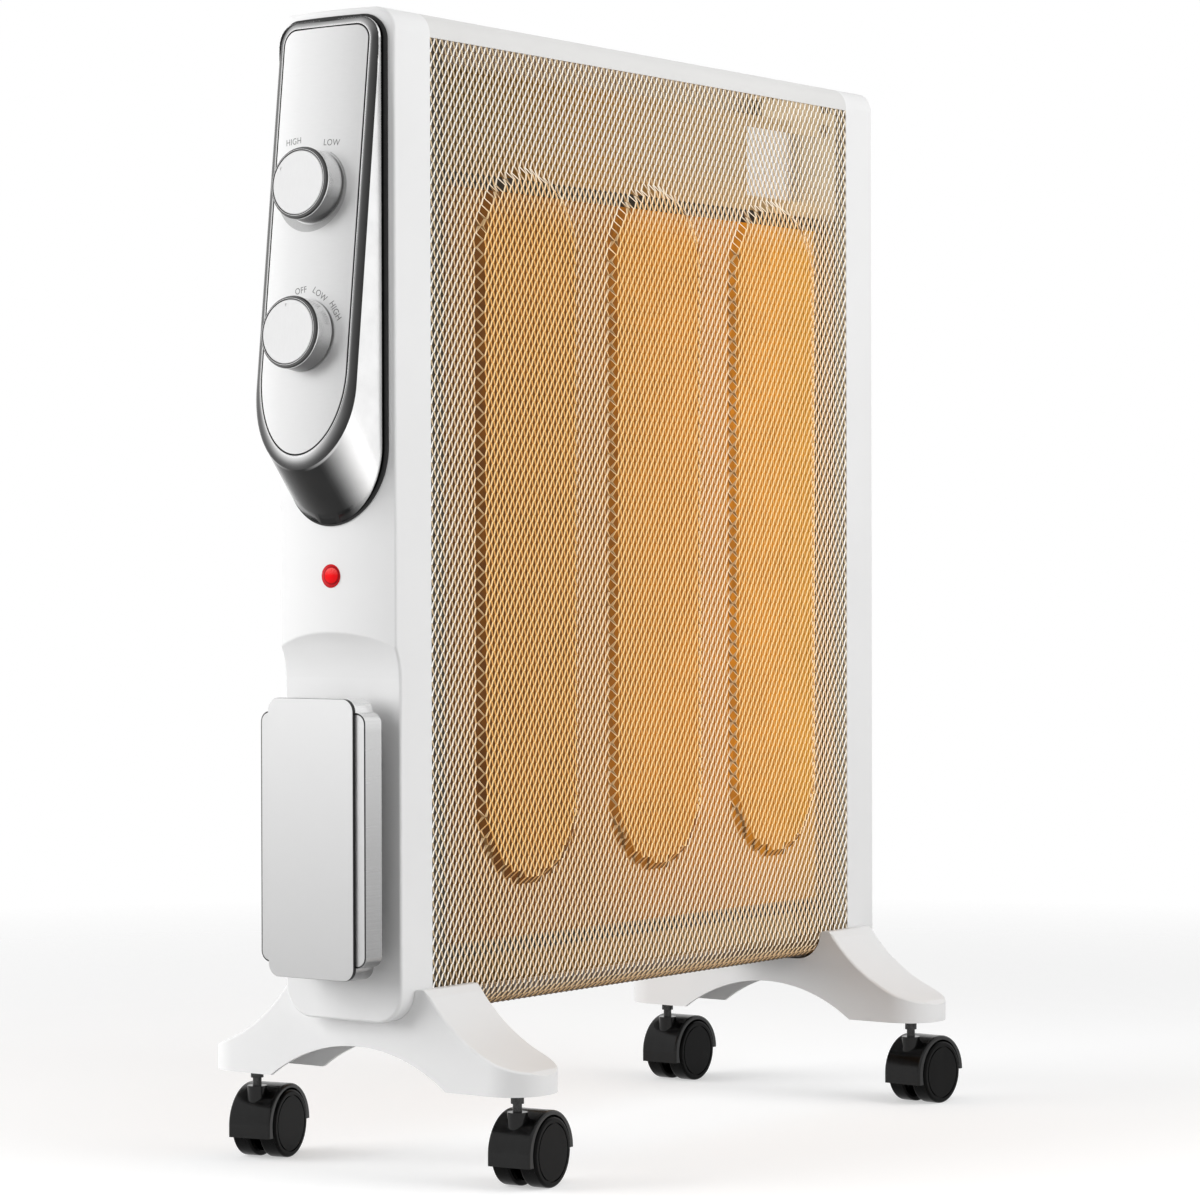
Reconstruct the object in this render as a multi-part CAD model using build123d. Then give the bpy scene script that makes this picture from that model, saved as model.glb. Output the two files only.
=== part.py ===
from build123d import *
import os
from math import cos, radians, sin, sqrt

# A free-standing mica panel heater on castors. All lengths are in millimetres.
# X runs along the heater with the controls at -X, the front grille faces -Y, and Z is up.
# The floor is at Z = 0, and the body is drawn with its middle at X = 0, Y = 0.
# A "rise" is a height over the body's bottom and a "drop" a depth under its top, unless it says otherwise.

# Castors: twin wheels under a hood that swivels on a fixed stem
castor_angles = {"front_near": 7.0, "back_near": 12.0, "front_far": -3.0, "back_far": 1.0}
castor_trail = 14.0
wheel_radius = 19.0
wheel_width = 11.0
wheel_gap = 6.0
wheel_rim = 3.0
wheel_web = 3.0
wheel_hub_radius = 4.5
wheel_edge_radius = 1.5
wheel_groove_inset = 3.0
wheel_groove_width = 0.8
wheel_groove_depth = 0.7
axle_radius = 2.0
axle_wheel_fit = 0.07
axle_hood_fit = 0.05
axle_end_gap = 0.4
axle_cover = 1.6
hood_clearance = 1.0
hood_roof = 2.5
hood_nose = 4.2
hood_side_step = 1.0
hood_web_gap = 0.5
hood_web_root = 1.0
hood_web_drop = 5.0
hood_front_drop = 6.0
hood_edge_radius = 1.5
socket_radius = 5.5
socket_depth = 7.5
stem_pin_radius = 2.5
stem_fit = 0.07
stem_end_gap = 0.3
stem_neck_radius = 3.6
stem_neck_gap = 4.5
stem_neck_length = 4.5
stem_disc_radius = 5.5
stem_disc_thickness = 1.5
stem_root_radius = 4.0
stem_root_length = 12.0

# Feet: hollow arched beams with a saddle for the body, whose ears reach up beside it
foot_inset = 38.0
foot_width = 47.0
foot_half_span = 112.0
foot_rise_to_body = 35.5
foot_wall = 2.5
foot_tip_flat = 1.5
foot_ear_wall = 6.1
foot_ear_height = 17.9
foot_ear_radius = 2.0
foot_shoulder_out = 4.0
foot_shoulder_drop = 3.8
foot_dip = 5.9
foot_toe_height = 13.0
foot_toe_setback = 3.5
foot_toe_drop = 2.5
foot_edge_radius = 1.6
arch_half_width = 61.5
arch_rise = 20.2
castor_from_tip = 20.35
foot_pad_start = 2.0
foot_pad_end = 22.0
foot_pad_side_gap = 2.0
foot_rib = 2.0
stem_boss_radius = 7.5

# Body outline, as seen from an end
body_height = 542.5
half_depth = 40.6
top_radius = 12.5
bottom_radius = 17.5

# Body length and end caps
half_length = 238.0
cap_length = 30.0
end_bulge = 5.5
cap_wall = 2.5
cap_edge_radius = 1.6
seat_gap = 0.1

# Recess in the lower half of the control end, under a coved ledge
recess_depth = 3.5
recess_rise = 184.5
cove_radius = 38.0
cove_turn = 70.0

# Top rail
rail_height = 14.0
rail_wall = 2.0

# Grilles: bent sheets with a lip at the top, a curl at the bottom, three raised ribs and a grid of openings
grille_sheet = 0.8
grille_rise = 1.7
grille_curl_step = 2.0
upper_lip = 18.6
lower_lip = 3.1
rib_pitch = 123.0
rib_half_width = 45.0
rib_rise = 69.5
rib_drop = 79.0
rib_height = 4.5
window_width = 28.0
window_height = 35.0
window_rise_pitch = 44.0
window_margin = 4.0
window_rib_gap = 2.5

# Bottom plate with rows of air slots
plate_sheet = 1.0
slot_length = 30.0
slot_width = 5.0
slot_pitch = 42.0
slot_row_pitch = 13.0

# Sheet-steel end walls
wall_sheet = 1.2
wall_flange = 11.0
wall_foot_length = 25.0
wall_foot_side_gap = 1.1

# Heating panels: a ribbon between two mica sheets, held in channels, on each side of a reflector
mica_sheet = 1.0
ribbon_sheet = 0.3
mica_end_gap = 6.8
mica_reach = 22.0
mica_rise = 29.3
mica_drop = 81.8
channel_wall = 0.8
channel_height = 8.0
ribbon_width = 9.0
ribbon_pitch = 13.0
ribbon_margin = 12.0
reflector_sheet = 0.8
reflector_low_gap = 5.0
reflector_high_gap = 4.0
terminal_size = 12.0
terminal_from_wall = 16.0
terminal_from_edge = 20.0

# Thermal cut-out on a bright bracket that the far end wall carries
bracket_width = 81.8
bracket_height = 42.0
bracket_drop = 30.0
bracket_sheet = 0.8
cutout_radius = 8.0
cutout_depth = 9.0
cutout_flange_radius = 10.4
cutout_flange_thickness = 0.8

# Control panel, which leans outward towards its lower end, and the bezel round it
panel_tilt = 6.25
panel_top_reach = 7.1
panel_lift = 15.85
panel_half_width = 29.0
panel_half_height = 115.0
panel_corner = 8.0
panel_ellipse = 44.3
panel_bulge = 2.0
panel_thickness = 1.4
panel_clearance = 0.15
bevel_width = 5.9
bevel_depth = 1.8
bezel_wall = 2.2
bezel_ledge = 3.0
base_side_taper = 0.2
base_extra_height = 29.5
base_drop = 4.5
base_corner = 12.0
base_ellipse = 41.5

# Control carrier: a thin rim on the end cap and a box that the dials' bodies hang in
rim_side = 2.1
rim_end = 0.7
rim_thickness = 0.6
carrier_box_half_width = 24.0
carrier_box_end = 20.0
carrier_box_corner = 6.0
carrier_wall = 1.5
carrier_depth = 4.5
carrier_boss_height = 2.0
carrier_seat_depth = 1.5
window_clearance = 0.3

# Dials: knobs, their shafts and what they turn
dial_spacing = 80.0
dial_middle = -11.4
knob_radius = 19.6
knob_taper = 0.4
knob_float = 0.4
knob_height = 10.5
knob_wall = 2.4
knob_hub_radius = 5.5
knob_ring_lip = 0.3
knob_ring_width = 2.2
knob_ring_height = 1.2
knob_cap_height = 2.5
knob_cap_gap = 0.1
knob_cap_edge = 0.8
pointer_radius = 0.9
pointer_depth = 0.4
pointer_from_edge = 2.8
thermostat_pointer_angle = 147.0
switch_pointer_angle = 98.0
shaft_radius = 3.0
shaft_fit = 0.08
shaft_play = 0.5
shaft_socket_depth = 7.5
neck_radius = 4.5
thermostat_width = 30.0
thermostat_depth = 15.0
switch_width = 28.0
switch_depth = 18.0
dial_body_corner = 2.4

# Indicator below the control housing
lamp_below_housing = 27.4
lens_radius = 6.5
lens_dome = 2.2
lens_lip = 1.5
lens_stem_length = 5.5
lamp_radius = 4.5
lamp_length = 12.0

# Cord winder on the recess: a core, a bright frame with wings, and a cover
winder_rise = 99.3
winder_gap = 10.0
winder_side_overhang = 7.6
winder_end_overhang = 18.0
winder_core_wall = 2.5
winder_core_corner = 10.0
winder_cover_half_width = 29.6
winder_cover_height = 149.6
winder_cover_corner = 7.0
winder_cover_thickness = 2.5
winder_cover_edge = 0.6
winder_frame_depth = 14.4
winder_frame_wall = 2.0
winder_wing_width = 7.0
winder_wing_height = 135.2
winder_wing_corner = 6.0
winder_wing_setback = 1.4

# Fixings
screw_radius = 2.0
screw_fit = 0.05
screw_hole_play = 0.3
large_screw_length = 14.0
small_screw_length = 8.5
screw_head_radius = 4.0
screw_head_height = 2.4
screw_boss_radius = 5.0
cap_screw_half_spread = 26.0
cap_screw_rise = 24.5
cap_screw_drop = 26.0
foot_screw_half_spread = 12.0
foot_screw_from_wall = 14.0
carrier_upper_screw_half_spread = 20.0
carrier_upper_screw_drop = 37.5
carrier_lower_screw_half_spread = 18.0
carrier_lower_screw_rise = 50.8
winder_screw_half_spread = 36.8

# Electrics inside the control end
block_depth = 12.0
block_width = 46.0
block_height = 34.0
tip_switch_rise = 62.5
tip_switch_depth = 14.0
tip_switch_width = 20.0
tip_switch_height = 30.0
lead_radius = 1.2
lead_spread = 10.0
lead_hole_play = 1.0
lead_bend = 6.0
upper_lead_drop = 56.0
lower_lead_rise = 92.5
gland_rise = 62.5
gland_bore = 3.5
gland_body_radius = 5.5
gland_flange_radius = 8.0
gland_flange_thickness = 2.0
gland_length = 12.0

# Modelling allowances: how far blocks run before they are trimmed, how far cutters run past a face,
# and how close counts as touching when an edge is picked by its place
hidden_reach = 60.0
cut_past = 1.0
near_enough = 0.01

# Heights worked out from the floor up
hood_top = 2 * wheel_radius + hood_clearance + hood_roof
socket_floor = hood_top - socket_depth
stem_neck_bottom = hood_top + stem_neck_gap
stem_disc_bottom = stem_neck_bottom + stem_neck_length
foot_bottom = stem_disc_bottom + stem_disc_thickness
body_bottom = foot_bottom + foot_rise_to_body
body_top = body_bottom + body_height
foot_saddle = body_bottom - seat_gap
foot_ear_top = body_bottom + foot_ear_height
foot_toe = foot_bottom + foot_toe_height
cove_start = body_bottom + recess_rise
rail_bottom = body_top - rail_height
grille_bottom = body_bottom + grille_rise
plate_low = grille_bottom + grille_sheet
plate_high = plate_low + plate_sheet
rib_bottom = body_bottom + rib_rise
rib_top = body_top - rib_drop
rib_middle = (rib_bottom + rib_top) / 2
mica_low = body_bottom + mica_rise
mica_high = body_top - mica_drop
reflector_low = plate_high + reflector_low_gap
reflector_high = rail_bottom - reflector_high_gap
bracket_high = body_top - bracket_drop
bracket_low = bracket_high - bracket_height
base_half_height = panel_half_height + bevel_width + base_extra_height / 2
base_top = body_top - base_drop
base_low = base_top - 2 * base_half_height
panel_middle = base_top - base_half_height + panel_lift
lamp_place = base_low - lamp_below_housing
winder_middle = body_bottom + winder_rise
winder_screw_places = (winder_middle - winder_screw_half_spread, winder_middle + winder_screw_half_spread)
cap_screw_places = (body_bottom + cap_screw_rise, body_top - cap_screw_drop)
tip_switch_place = body_bottom + tip_switch_rise
upper_lead_place = body_top - upper_lead_drop
lower_lead_place = body_bottom + lower_lead_rise
gland_place = body_bottom + gland_rise

# Places along and across the heater
cap_inner = half_length - cap_length
end_radius = (half_depth ** 2 + end_bulge ** 2) / (2 * end_bulge)
end_axis = half_length + end_bulge - end_radius
end_tip = half_length + end_bulge
recess_face = half_length - recess_depth
wall_inner = cap_inner - wall_sheet
foot_centre = half_length - foot_inset
castor_spread = foot_half_span - castor_from_tip
foot_ear_outer = half_depth + seat_gap + foot_ear_wall
foot_screw_place = cap_inner - foot_screw_from_wall
grille_curl_radius = bottom_radius - grille_curl_step
window_pitch = rib_pitch / 3
plate_half_width = half_depth - grille_curl_radius
upper_lip_inner = half_depth - upper_lip
lower_lip_inner = plate_half_width - lower_lip
wall_foot_half_width = plate_half_width - wall_foot_side_gap
foot_pad_half_width = lower_lip_inner - foot_pad_side_gap
mica_half_width = wall_inner - mica_end_gap
mica_inner_face = mica_reach - 2 * mica_sheet - ribbon_sheet
bracket_left = wall_inner - bracket_width
winder_back = recess_face + winder_gap
winder_frame_front = winder_back + winder_frame_depth
winder_front = winder_frame_front + winder_cover_thickness
winder_core_half_width = winder_cover_half_width - winder_side_overhang
winder_core_height = winder_cover_height - 2 * winder_end_overhang

# Castor pieces that fit each other
hood_width = wheel_gap + 2 * wheel_width - 2 * hood_side_step
hood_clear_radius = wheel_radius + hood_clearance
hood_half_length = hood_clear_radius + hood_nose
hood_web_width = wheel_gap - 2 * hood_web_gap
axle_wheel_depth = wheel_width - axle_cover

# Heights over the control panel's plane, and places up it
panel_normal = Vector(-cos(radians(panel_tilt)), 0, sin(radians(panel_tilt)))
panel_reach = panel_top_reach + panel_half_height * sin(radians(panel_tilt))
panel_plane = Plane(
    origin=(-half_length - panel_reach, 0, panel_middle),
    x_dir=(0, -1, 0),
    z_dir=panel_normal,
)
panel_radius = (panel_half_width ** 2 + panel_bulge ** 2) / (2 * panel_bulge)
base_half_width = panel_half_width + bevel_width - base_side_taper
dial_seat = -carrier_depth - carrier_wall
thermostat_place = dial_middle + dial_spacing / 2
switch_place = dial_middle - dial_spacing / 2
carrier_box_half_height = dial_spacing / 2 + carrier_box_end
knob_start = panel_bulge + knob_float
knob_top = knob_start + knob_height
knob_top_radius = knob_radius - knob_taper
knob_ring_radius = knob_top_radius + knob_ring_lip
knob_cap_radius = knob_ring_radius - knob_ring_width
knob_face = knob_top + knob_cap_height
lens_stem_radius = lens_radius - lens_lip
diagonal = sqrt(0.5)


def across(x):
    """A plane square to the heater's length, with its own X along Y and its own Y up."""
    return Plane(origin=(x, 0, 0), x_dir=(0, 1, 0), z_dir=(1, 0, 0))


def slab(x_range, y_range, z_range):
    """A plain box between pairs of limits."""
    size = [high - low for low, high in (x_range, y_range, z_range)]
    middle = [(low + high) / 2 for low, high in (x_range, y_range, z_range)]
    return Pos(*middle) * Box(*size)


def rod(start, direction, radius, length):
    """A round rod from a start point along a direction."""
    plane = Plane(origin=start, z_dir=direction)
    return plane * Cylinder(radius, length, align=(Align.CENTER, Align.CENTER, Align.MIN))


def body_section(inset):
    """The body's outline square to its length, drawn in by an inset."""
    low = body_bottom + inset
    high = body_top - inset
    outline = Pos(0, (low + high) / 2) * Rectangle(2 * (half_depth - inset), high - low)
    outline = fillet(outline.vertices().sort_by(Axis.Y)[-2:], top_radius - inset)
    return fillet(outline.vertices().sort_by(Axis.Y)[:2], bottom_radius - inset)


def body_prism(inset, near, far):
    """The body's outline carried from one place along X to another."""
    return extrude(across(near) * body_section(inset), far - near)


def end_cylinder(outset):
    """The upright cylinder whose skin is the control end's convex face, moved out by an outset."""
    tall = Cylinder(end_radius + outset, 2 * body_top)
    return Pos(-end_axis, 0, body_top / 2) * tall


def recess_cutter(inset):
    """What the recess takes from the control end, drawn in by an inset."""
    face = -recess_face + inset
    centre = -recess_face - cove_radius
    radius = cove_radius + inset
    turn = radians(cove_turn)
    out = centre - cove_radius
    arc_middle = (centre + radius * cos(turn / 2), cove_start + radius * sin(turn / 2))
    arc_end = (centre + radius * cos(turn), cove_start + radius * sin(turn))
    edge = Line((face, 0), (face, cove_start))
    edge += ThreePointArc((face, cove_start), arc_middle, arc_end)
    edge += Polyline(arc_end, (out, arc_end[1]), (out, 0), (face, 0))
    side = Plane.XZ * make_face(edge)
    return extrude(side, 2 * half_depth, both=True)


def cap_bosses(outer):
    """Bosses that take the screws of the end wall."""
    bosses = Part()
    for y in (-cap_screw_half_spread, cap_screw_half_spread):
        for z in cap_screw_places:
            bosses += rod((-cap_inner, y, z), (-1, 0, 0), screw_boss_radius, hidden_reach)
    return bosses & outer


def cap_boss_bores():
    """Bores for the screws of the end wall."""
    bores = Part()
    for y in (-cap_screw_half_spread, cap_screw_half_spread):
        for z in cap_screw_places:
            bores += rod((-cap_inner, y, z), (-1, 0, 0), screw_radius + screw_fit, large_screw_length)
    return bores


def carrier_screw_points():
    """Places across and up the heater of the screws that hold the control carrier."""
    upper = (carrier_upper_screw_half_spread, base_top - carrier_upper_screw_drop)
    lower = (carrier_lower_screw_half_spread, base_low + carrier_lower_screw_rise)
    return [(side * y, z) for y, z in (upper, lower) for side in (-1, 1)]


def foot_screw_points():
    """Places along and across the heater of the screws that hold the feet."""
    x, y = foot_screw_place, foot_screw_half_spread
    return [(end * x, side * y) for end in (-1, 1) for side in (-1, 1)]


def make_far_end_cap():
    """Plain end cap with a convex outer face, as a shell open towards the heater."""
    outer = body_prism(0, -cap_inner, -cap_inner - hidden_reach) & end_cylinder(0)
    face_edges = outer.edges().filter_by(lambda e: e.center().X < -half_length + near_enough)
    outer = fillet(face_edges, cap_edge_radius)
    hollow = body_prism(cap_wall, -cap_inner, -cap_inner - hidden_reach) & end_cylinder(-cap_wall)
    shell = outer - hollow + cap_bosses(outer) - cap_boss_bores()
    return mirror(shell, Plane.YZ)


def make_control_end_cap():
    """End cap with the recess for the winder, and holes for the controls, lamp and cord."""
    outer = body_prism(0, -cap_inner, -cap_inner - hidden_reach) & end_cylinder(0)
    outer -= recess_cutter(0)
    face_edges = outer.edges().filter_by(lambda e: e.center().X < -recess_face + near_enough)
    outer = fillet(face_edges, cap_edge_radius)
    hollow = body_prism(cap_wall, -cap_inner, -cap_inner - hidden_reach) & end_cylinder(-cap_wall)
    hollow -= recess_cutter(cap_wall)
    shell = outer - hollow + cap_bosses(outer) - cap_boss_bores()
    seat = -half_length + carrier_seat_depth
    for y, z in carrier_screw_points():
        shell += rod((seat, y, z), (-1, 0, 0), screw_boss_radius, hidden_reach) & outer
    hole_radius = screw_radius + screw_hole_play
    for y, z in carrier_screw_points():
        shell -= rod((seat, y, z), (-1, 0, 0), hole_radius, hidden_reach)
    for z in winder_screw_places:
        shell -= rod((-recess_face + cap_wall, 0, z), (-1, 0, 0), hole_radius, cap_wall)
    shell -= carrier_box(window_clearance, hidden_reach)
    shell -= rod((-cap_inner, 0, lamp_place), (-1, 0, 0), lens_stem_radius + seat_gap, hidden_reach)
    shell -= rod(gland_start(), (0, 1, 0), gland_body_radius + seat_gap, hidden_reach)
    return shell


def make_top_rail():
    """Channel along the top, between the end caps, open below."""
    outer = body_prism(0, -cap_inner, cap_inner)
    hollow = body_prism(rail_wall, -cap_inner, cap_inner)
    keep = slab((-cap_inner, cap_inner), (-half_depth, half_depth), (rail_bottom, body_top))
    return (outer - hollow) & keep


def grille_section():
    """Bent sheet of the front grille, seen from its end: lips at the top and bottom, curled below."""
    outside = -half_depth
    inside = -half_depth + grille_sheet
    low = grille_bottom
    high = rail_bottom
    radius = grille_curl_radius
    inner_radius = radius - grille_sheet
    centre_y = outside + radius
    centre_z = low + radius
    outer_bow = (centre_y - radius * diagonal, centre_z - radius * diagonal)
    inner_bow = (centre_y - inner_radius * diagonal, centre_z - inner_radius * diagonal)
    edge = Polyline(
        (inside, centre_z),
        (inside, high - grille_sheet),
        (-upper_lip_inner, high - grille_sheet),
        (-upper_lip_inner, high),
        (outside, high),
        (outside, centre_z),
    )
    edge += ThreePointArc((outside, centre_z), outer_bow, (centre_y, low))
    edge += Polyline(
        (centre_y, low),
        (-lower_lip_inner, low),
        (-lower_lip_inner, low + grille_sheet),
        (centre_y, low + grille_sheet),
    )
    edge += ThreePointArc((centre_y, low + grille_sheet), inner_bow, (inside, centre_z))
    return make_face(edge)


def rib_outline(inset):
    """A rib's stadium outline, drawn in by an inset, round its own middle."""
    length = rib_top - rib_bottom - 2 * inset
    return SlotOverall(length, 2 * (rib_half_width - inset), rotation=90)


def front_plane(centre, depth):
    """A plane along the front grille, at a place along the heater and a depth from its middle."""
    return Plane(origin=(centre, -depth, rib_middle), x_dir=(1, 0, 0), z_dir=(0, -1, 0))


def rib_block(centre, inset, back, front):
    """A stadium-shaped block over one rib of the front grille, between two depths."""
    return extrude(front_plane(centre, back) * rib_outline(inset), front - back)


def grille_windows():
    """Outlines of the front sheet's grid of openings, clear of its edges and of the ribs' walls."""
    flat_low = grille_bottom + grille_curl_radius + window_margin
    flat_high = rail_bottom - grille_sheet - window_margin
    columns = int((cap_inner - window_margin + (window_pitch - window_width) / 2) // window_pitch)
    rows_down = int((rib_middle - window_height / 2 - flat_low) // window_rise_pitch)
    rows_up = int((flat_high - rib_middle - window_height / 2) // window_rise_pitch)
    windows = Sketch()
    for column in range(-columns, columns):
        for row in range(-rows_down, rows_up + 1):
            place = Pos((column + 0.5) * window_pitch, row * window_rise_pitch)
            windows += place * Rectangle(window_width, window_height)
    for step in (-1, 0, 1):
        band = rib_outline(-window_rib_gap) - rib_outline(window_rib_gap)
        windows -= Pos(step * rib_pitch, 0) * band
    return windows


def make_front_grille():
    """Front sheet with its raised ribs and its openings."""
    sheet = extrude(across(-cap_inner) * grille_section(), 2 * cap_inner)
    inside = half_depth - grille_sheet
    for step in (-1, 0, 1):
        centre = step * rib_pitch
        sheet -= rib_block(centre, grille_sheet, inside, half_depth)
        rib = rib_block(centre, 0, inside, half_depth + rib_height)
        sheet += rib - rib_block(centre, grille_sheet, inside, half_depth + rib_height - grille_sheet)
    cut_from = inside - cut_past
    cut_to = half_depth + rib_height + cut_past
    return sheet - extrude(front_plane(0, cut_from) * grille_windows(), cut_to - cut_from)


def make_bottom_plate():
    """Plate between the end caps, with rows of air slots."""
    plate = slab((-cap_inner, cap_inner), (-plate_half_width, plate_half_width), (plate_low, plate_high))
    free_half = cap_inner - wall_foot_length - slot_length
    count = int(free_half // slot_pitch)
    slot = SlotOverall(slot_length, slot_width)
    for row in (-1, 0, 1):
        for step in range(-count, count + 1):
            place = Pos(step * slot_pitch, row * slot_row_pitch, plate_low)
            plate -= place * extrude(slot, plate_sheet)
    for x, y in foot_screw_points():
        plate -= rod((x, y, plate_low), (0, 0, 1), screw_radius + screw_hole_play, plate_sheet)
    return plate


def plain_end_wall():
    """Sheet-steel wall behind the control end cap, with flanges for the grilles, rail and foot."""
    side_out = half_depth - grille_sheet
    rail_inside = body_top - rail_wall
    curl_clear = grille_bottom + grille_curl_radius
    lip_clear = rail_bottom - grille_sheet
    sheet = (-cap_inner, -wall_inner)
    flange = (-cap_inner, -wall_inner + wall_flange)
    neck = (-upper_lip_inner + seat_gap, upper_lip_inner - seat_gap)
    foot = (-wall_foot_half_width, wall_foot_half_width)
    wall = slab(sheet, (-side_out, side_out), (curl_clear, lip_clear))
    wall += slab(sheet, foot, (plate_high, curl_clear))
    wall += slab(sheet, neck, (lip_clear, rail_inside))
    for side in (-1, 1):
        y_range = sorted((side * (side_out - wall_sheet), side * side_out))
        wall += slab(flange, y_range, (curl_clear, lip_clear))
    wall += slab(flange, neck, (rail_inside - wall_sheet, rail_inside))
    wall += slab((-cap_inner, -cap_inner + wall_foot_length), foot, (plate_high, plate_high + wall_sheet))
    hole_radius = screw_radius + screw_hole_play
    for y in (-cap_screw_half_spread, cap_screw_half_spread):
        for z in cap_screw_places:
            wall -= rod((-cap_inner, y, z), (1, 0, 0), hole_radius, wall_sheet)
    for x, y in foot_screw_points()[:2]:
        wall -= rod((x, y, plate_high), (0, 0, 1), hole_radius, wall_sheet)
    return wall


def make_control_end_wall():
    """The control-side wall, which also lets the leads through."""
    wall = plain_end_wall()
    for y in (-lead_spread, lead_spread):
        for z in (upper_lead_place, lower_lead_place):
            wall -= rod((-cap_inner, y, z), (1, 0, 0), lead_radius + lead_hole_play, wall_sheet)
    return wall


def make_far_end_wall():
    """The far wall, which is the plain one turned round."""
    return mirror(plain_end_wall(), Plane.YZ)


def make_panel_channels():
    """Four channels that hold the heating panels' upper and lower edges."""
    channels = []
    reach = (-wall_inner, wall_inner)
    low_outside = (mica_low - channel_wall, mica_low - channel_wall + channel_height)
    high_outside = (mica_high + channel_wall - channel_height, mica_high + channel_wall)
    low_inside = (mica_low, low_outside[1])
    high_inside = (high_outside[0], mica_high)
    for side in (-1, 1):
        outside = sorted((side * (mica_inner_face - channel_wall), side * (mica_reach + channel_wall)))
        inside = sorted((side * mica_inner_face, side * mica_reach))
        channels.append(slab(reach, outside, low_outside) - slab(reach, inside, low_inside))
        channels.append(slab(reach, outside, high_outside) - slab(reach, inside, high_inside))
    return Compound(channels)


def mica_sheets(side):
    """The two mica sheets of the panel on one side."""
    sheets = []
    for face in (mica_inner_face, mica_reach - mica_sheet):
        y_range = sorted((side * face, side * (face + mica_sheet)))
        sheets.append(slab((-mica_half_width, mica_half_width), y_range, (mica_low, mica_high)))
    return Compound(sheets)


def heating_ribbon(side):
    """One unbroken ribbon that runs up and down between the mica sheets."""
    start = mica_inner_face + mica_sheet
    y_range = sorted((side * start, side * (start + ribbon_sheet)))
    count = int(2 * (mica_half_width - ribbon_margin) // ribbon_pitch)
    first = -count * ribbon_pitch / 2
    low = mica_low + ribbon_margin
    high = mica_high - ribbon_margin
    ribbon = Part()
    for index in range(count + 1):
        x = first + index * ribbon_pitch
        ribbon += slab((x - ribbon_width / 2, x + ribbon_width / 2), y_range, (low, high))
    for index in range(count):
        x = first + index * ribbon_pitch
        link = (high - ribbon_width, high) if index % 2 == 0 else (low, low + ribbon_width)
        ribbon += slab((x, x + ribbon_pitch), y_range, link)
    return ribbon


def make_reflector():
    """Bright plate between the two panels."""
    half = reflector_sheet / 2
    return slab((-wall_inner, wall_inner), (-half, half), (reflector_low, reflector_high))


def terminal_heights():
    """Heights of the lower and upper terminals' middles."""
    return (mica_low + terminal_from_edge, mica_high - terminal_from_edge)


def terminal_middle():
    """Place along the heater of the terminals' middles."""
    return -wall_inner + terminal_from_wall + terminal_size / 2


def make_terminals():
    """Ceramic terminals between each panel and the reflector."""
    blocks = []
    x = terminal_middle()
    half = terminal_size / 2
    for side in (-1, 1):
        y_range = sorted((side * reflector_sheet / 2, side * mica_inner_face))
        for z in terminal_heights():
            blocks.append(slab((x - half, x + half), y_range, (z - half, z + half)))
    return Compound(blocks)


def make_cutout_bracket():
    """Bright bracket on the far end wall, above the front panel."""
    y_range = (-mica_reach, -mica_reach + bracket_sheet)
    return slab((bracket_left, wall_inner), y_range, (bracket_low, bracket_high))


def make_cutout():
    """Disc-shaped thermal cut-out on the back of its bracket."""
    middle = (bracket_left + wall_inner) / 2
    height = (bracket_low + bracket_high) / 2
    start = (middle, -mica_reach + bracket_sheet, height)
    can = rod(start, (0, 1, 0), cutout_radius, cutout_depth)
    return can + rod(start, (0, 1, 0), cutout_flange_radius, cutout_flange_thickness)


def bullet_outline(half_width, low, high, corner, ellipse):
    """Outline with two round corners above and a half ellipse below, as a wire on the XY plane."""
    waist = low + ellipse
    bow = corner * (1 - diagonal)
    edge = Line((-half_width + corner, high), (half_width - corner, high))
    edge += ThreePointArc(
        (half_width - corner, high),
        (half_width - bow, high - bow),
        (half_width, high - corner),
    )
    edge += Line((half_width, high - corner), (half_width, waist))
    edge += EllipticalCenterArc((0, waist), half_width, ellipse, 270, arc_size=90)
    edge += EllipticalCenterArc((0, waist), half_width, ellipse, 180, arc_size=90)
    edge += Line((-half_width, waist), (-half_width, high - corner))
    edge += ThreePointArc(
        (-half_width, high - corner),
        (-half_width + bow, high - bow),
        (-half_width + corner, high),
    )
    return make_face(edge)


def panel_outline(grow):
    """Outline of the control panel, on the leaning plane's own axes."""
    return bullet_outline(
        panel_half_width + grow,
        -panel_half_height - grow,
        panel_half_height + grow,
        panel_corner + grow,
        panel_ellipse + grow,
    )


def base_outline(side_grow, end_grow):
    """Outline of the control housing where it meets the end cap, with heights on its own Y axis."""
    return bullet_outline(
        base_half_width + side_grow,
        base_low - end_grow,
        base_top + end_grow,
        base_corner + side_grow,
        base_ellipse + end_grow,
    )


def panel_level(height):
    """The leaning plane of the control panel's edge, moved out by a height."""
    return panel_plane.offset(height)


def panel_cylinder(outset):
    """Leaning cylinder whose skin is the control panel's convex face, moved out by an outset."""
    level = panel_level(panel_bulge - panel_radius)
    axis = Plane(origin=level.origin, x_dir=level.x_dir, z_dir=level.y_dir)
    return axis * Cylinder(panel_radius + outset, 2 * body_top)


def housing_block(inset):
    """Wedge between the end cap's face and a plane just outside the panel, drawn in by an inset."""
    base_plane = Plane(origin=(-end_tip - rim_thickness, 0, 0), x_dir=(0, -1, 0), z_dir=(-1, 0, 0))
    base = base_plane * base_outline(-inset, -inset)
    front = panel_level(panel_bulge + cut_past) * panel_outline(bevel_width - inset)
    return loft([base, front], ruled=True) + extrude(base, -end_bulge - rim_thickness)


def panel_distance(shape):
    """How far out from the panel's plane the middle of a face or an edge lies."""
    return (shape.center() - panel_plane.origin).dot(panel_normal)


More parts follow.
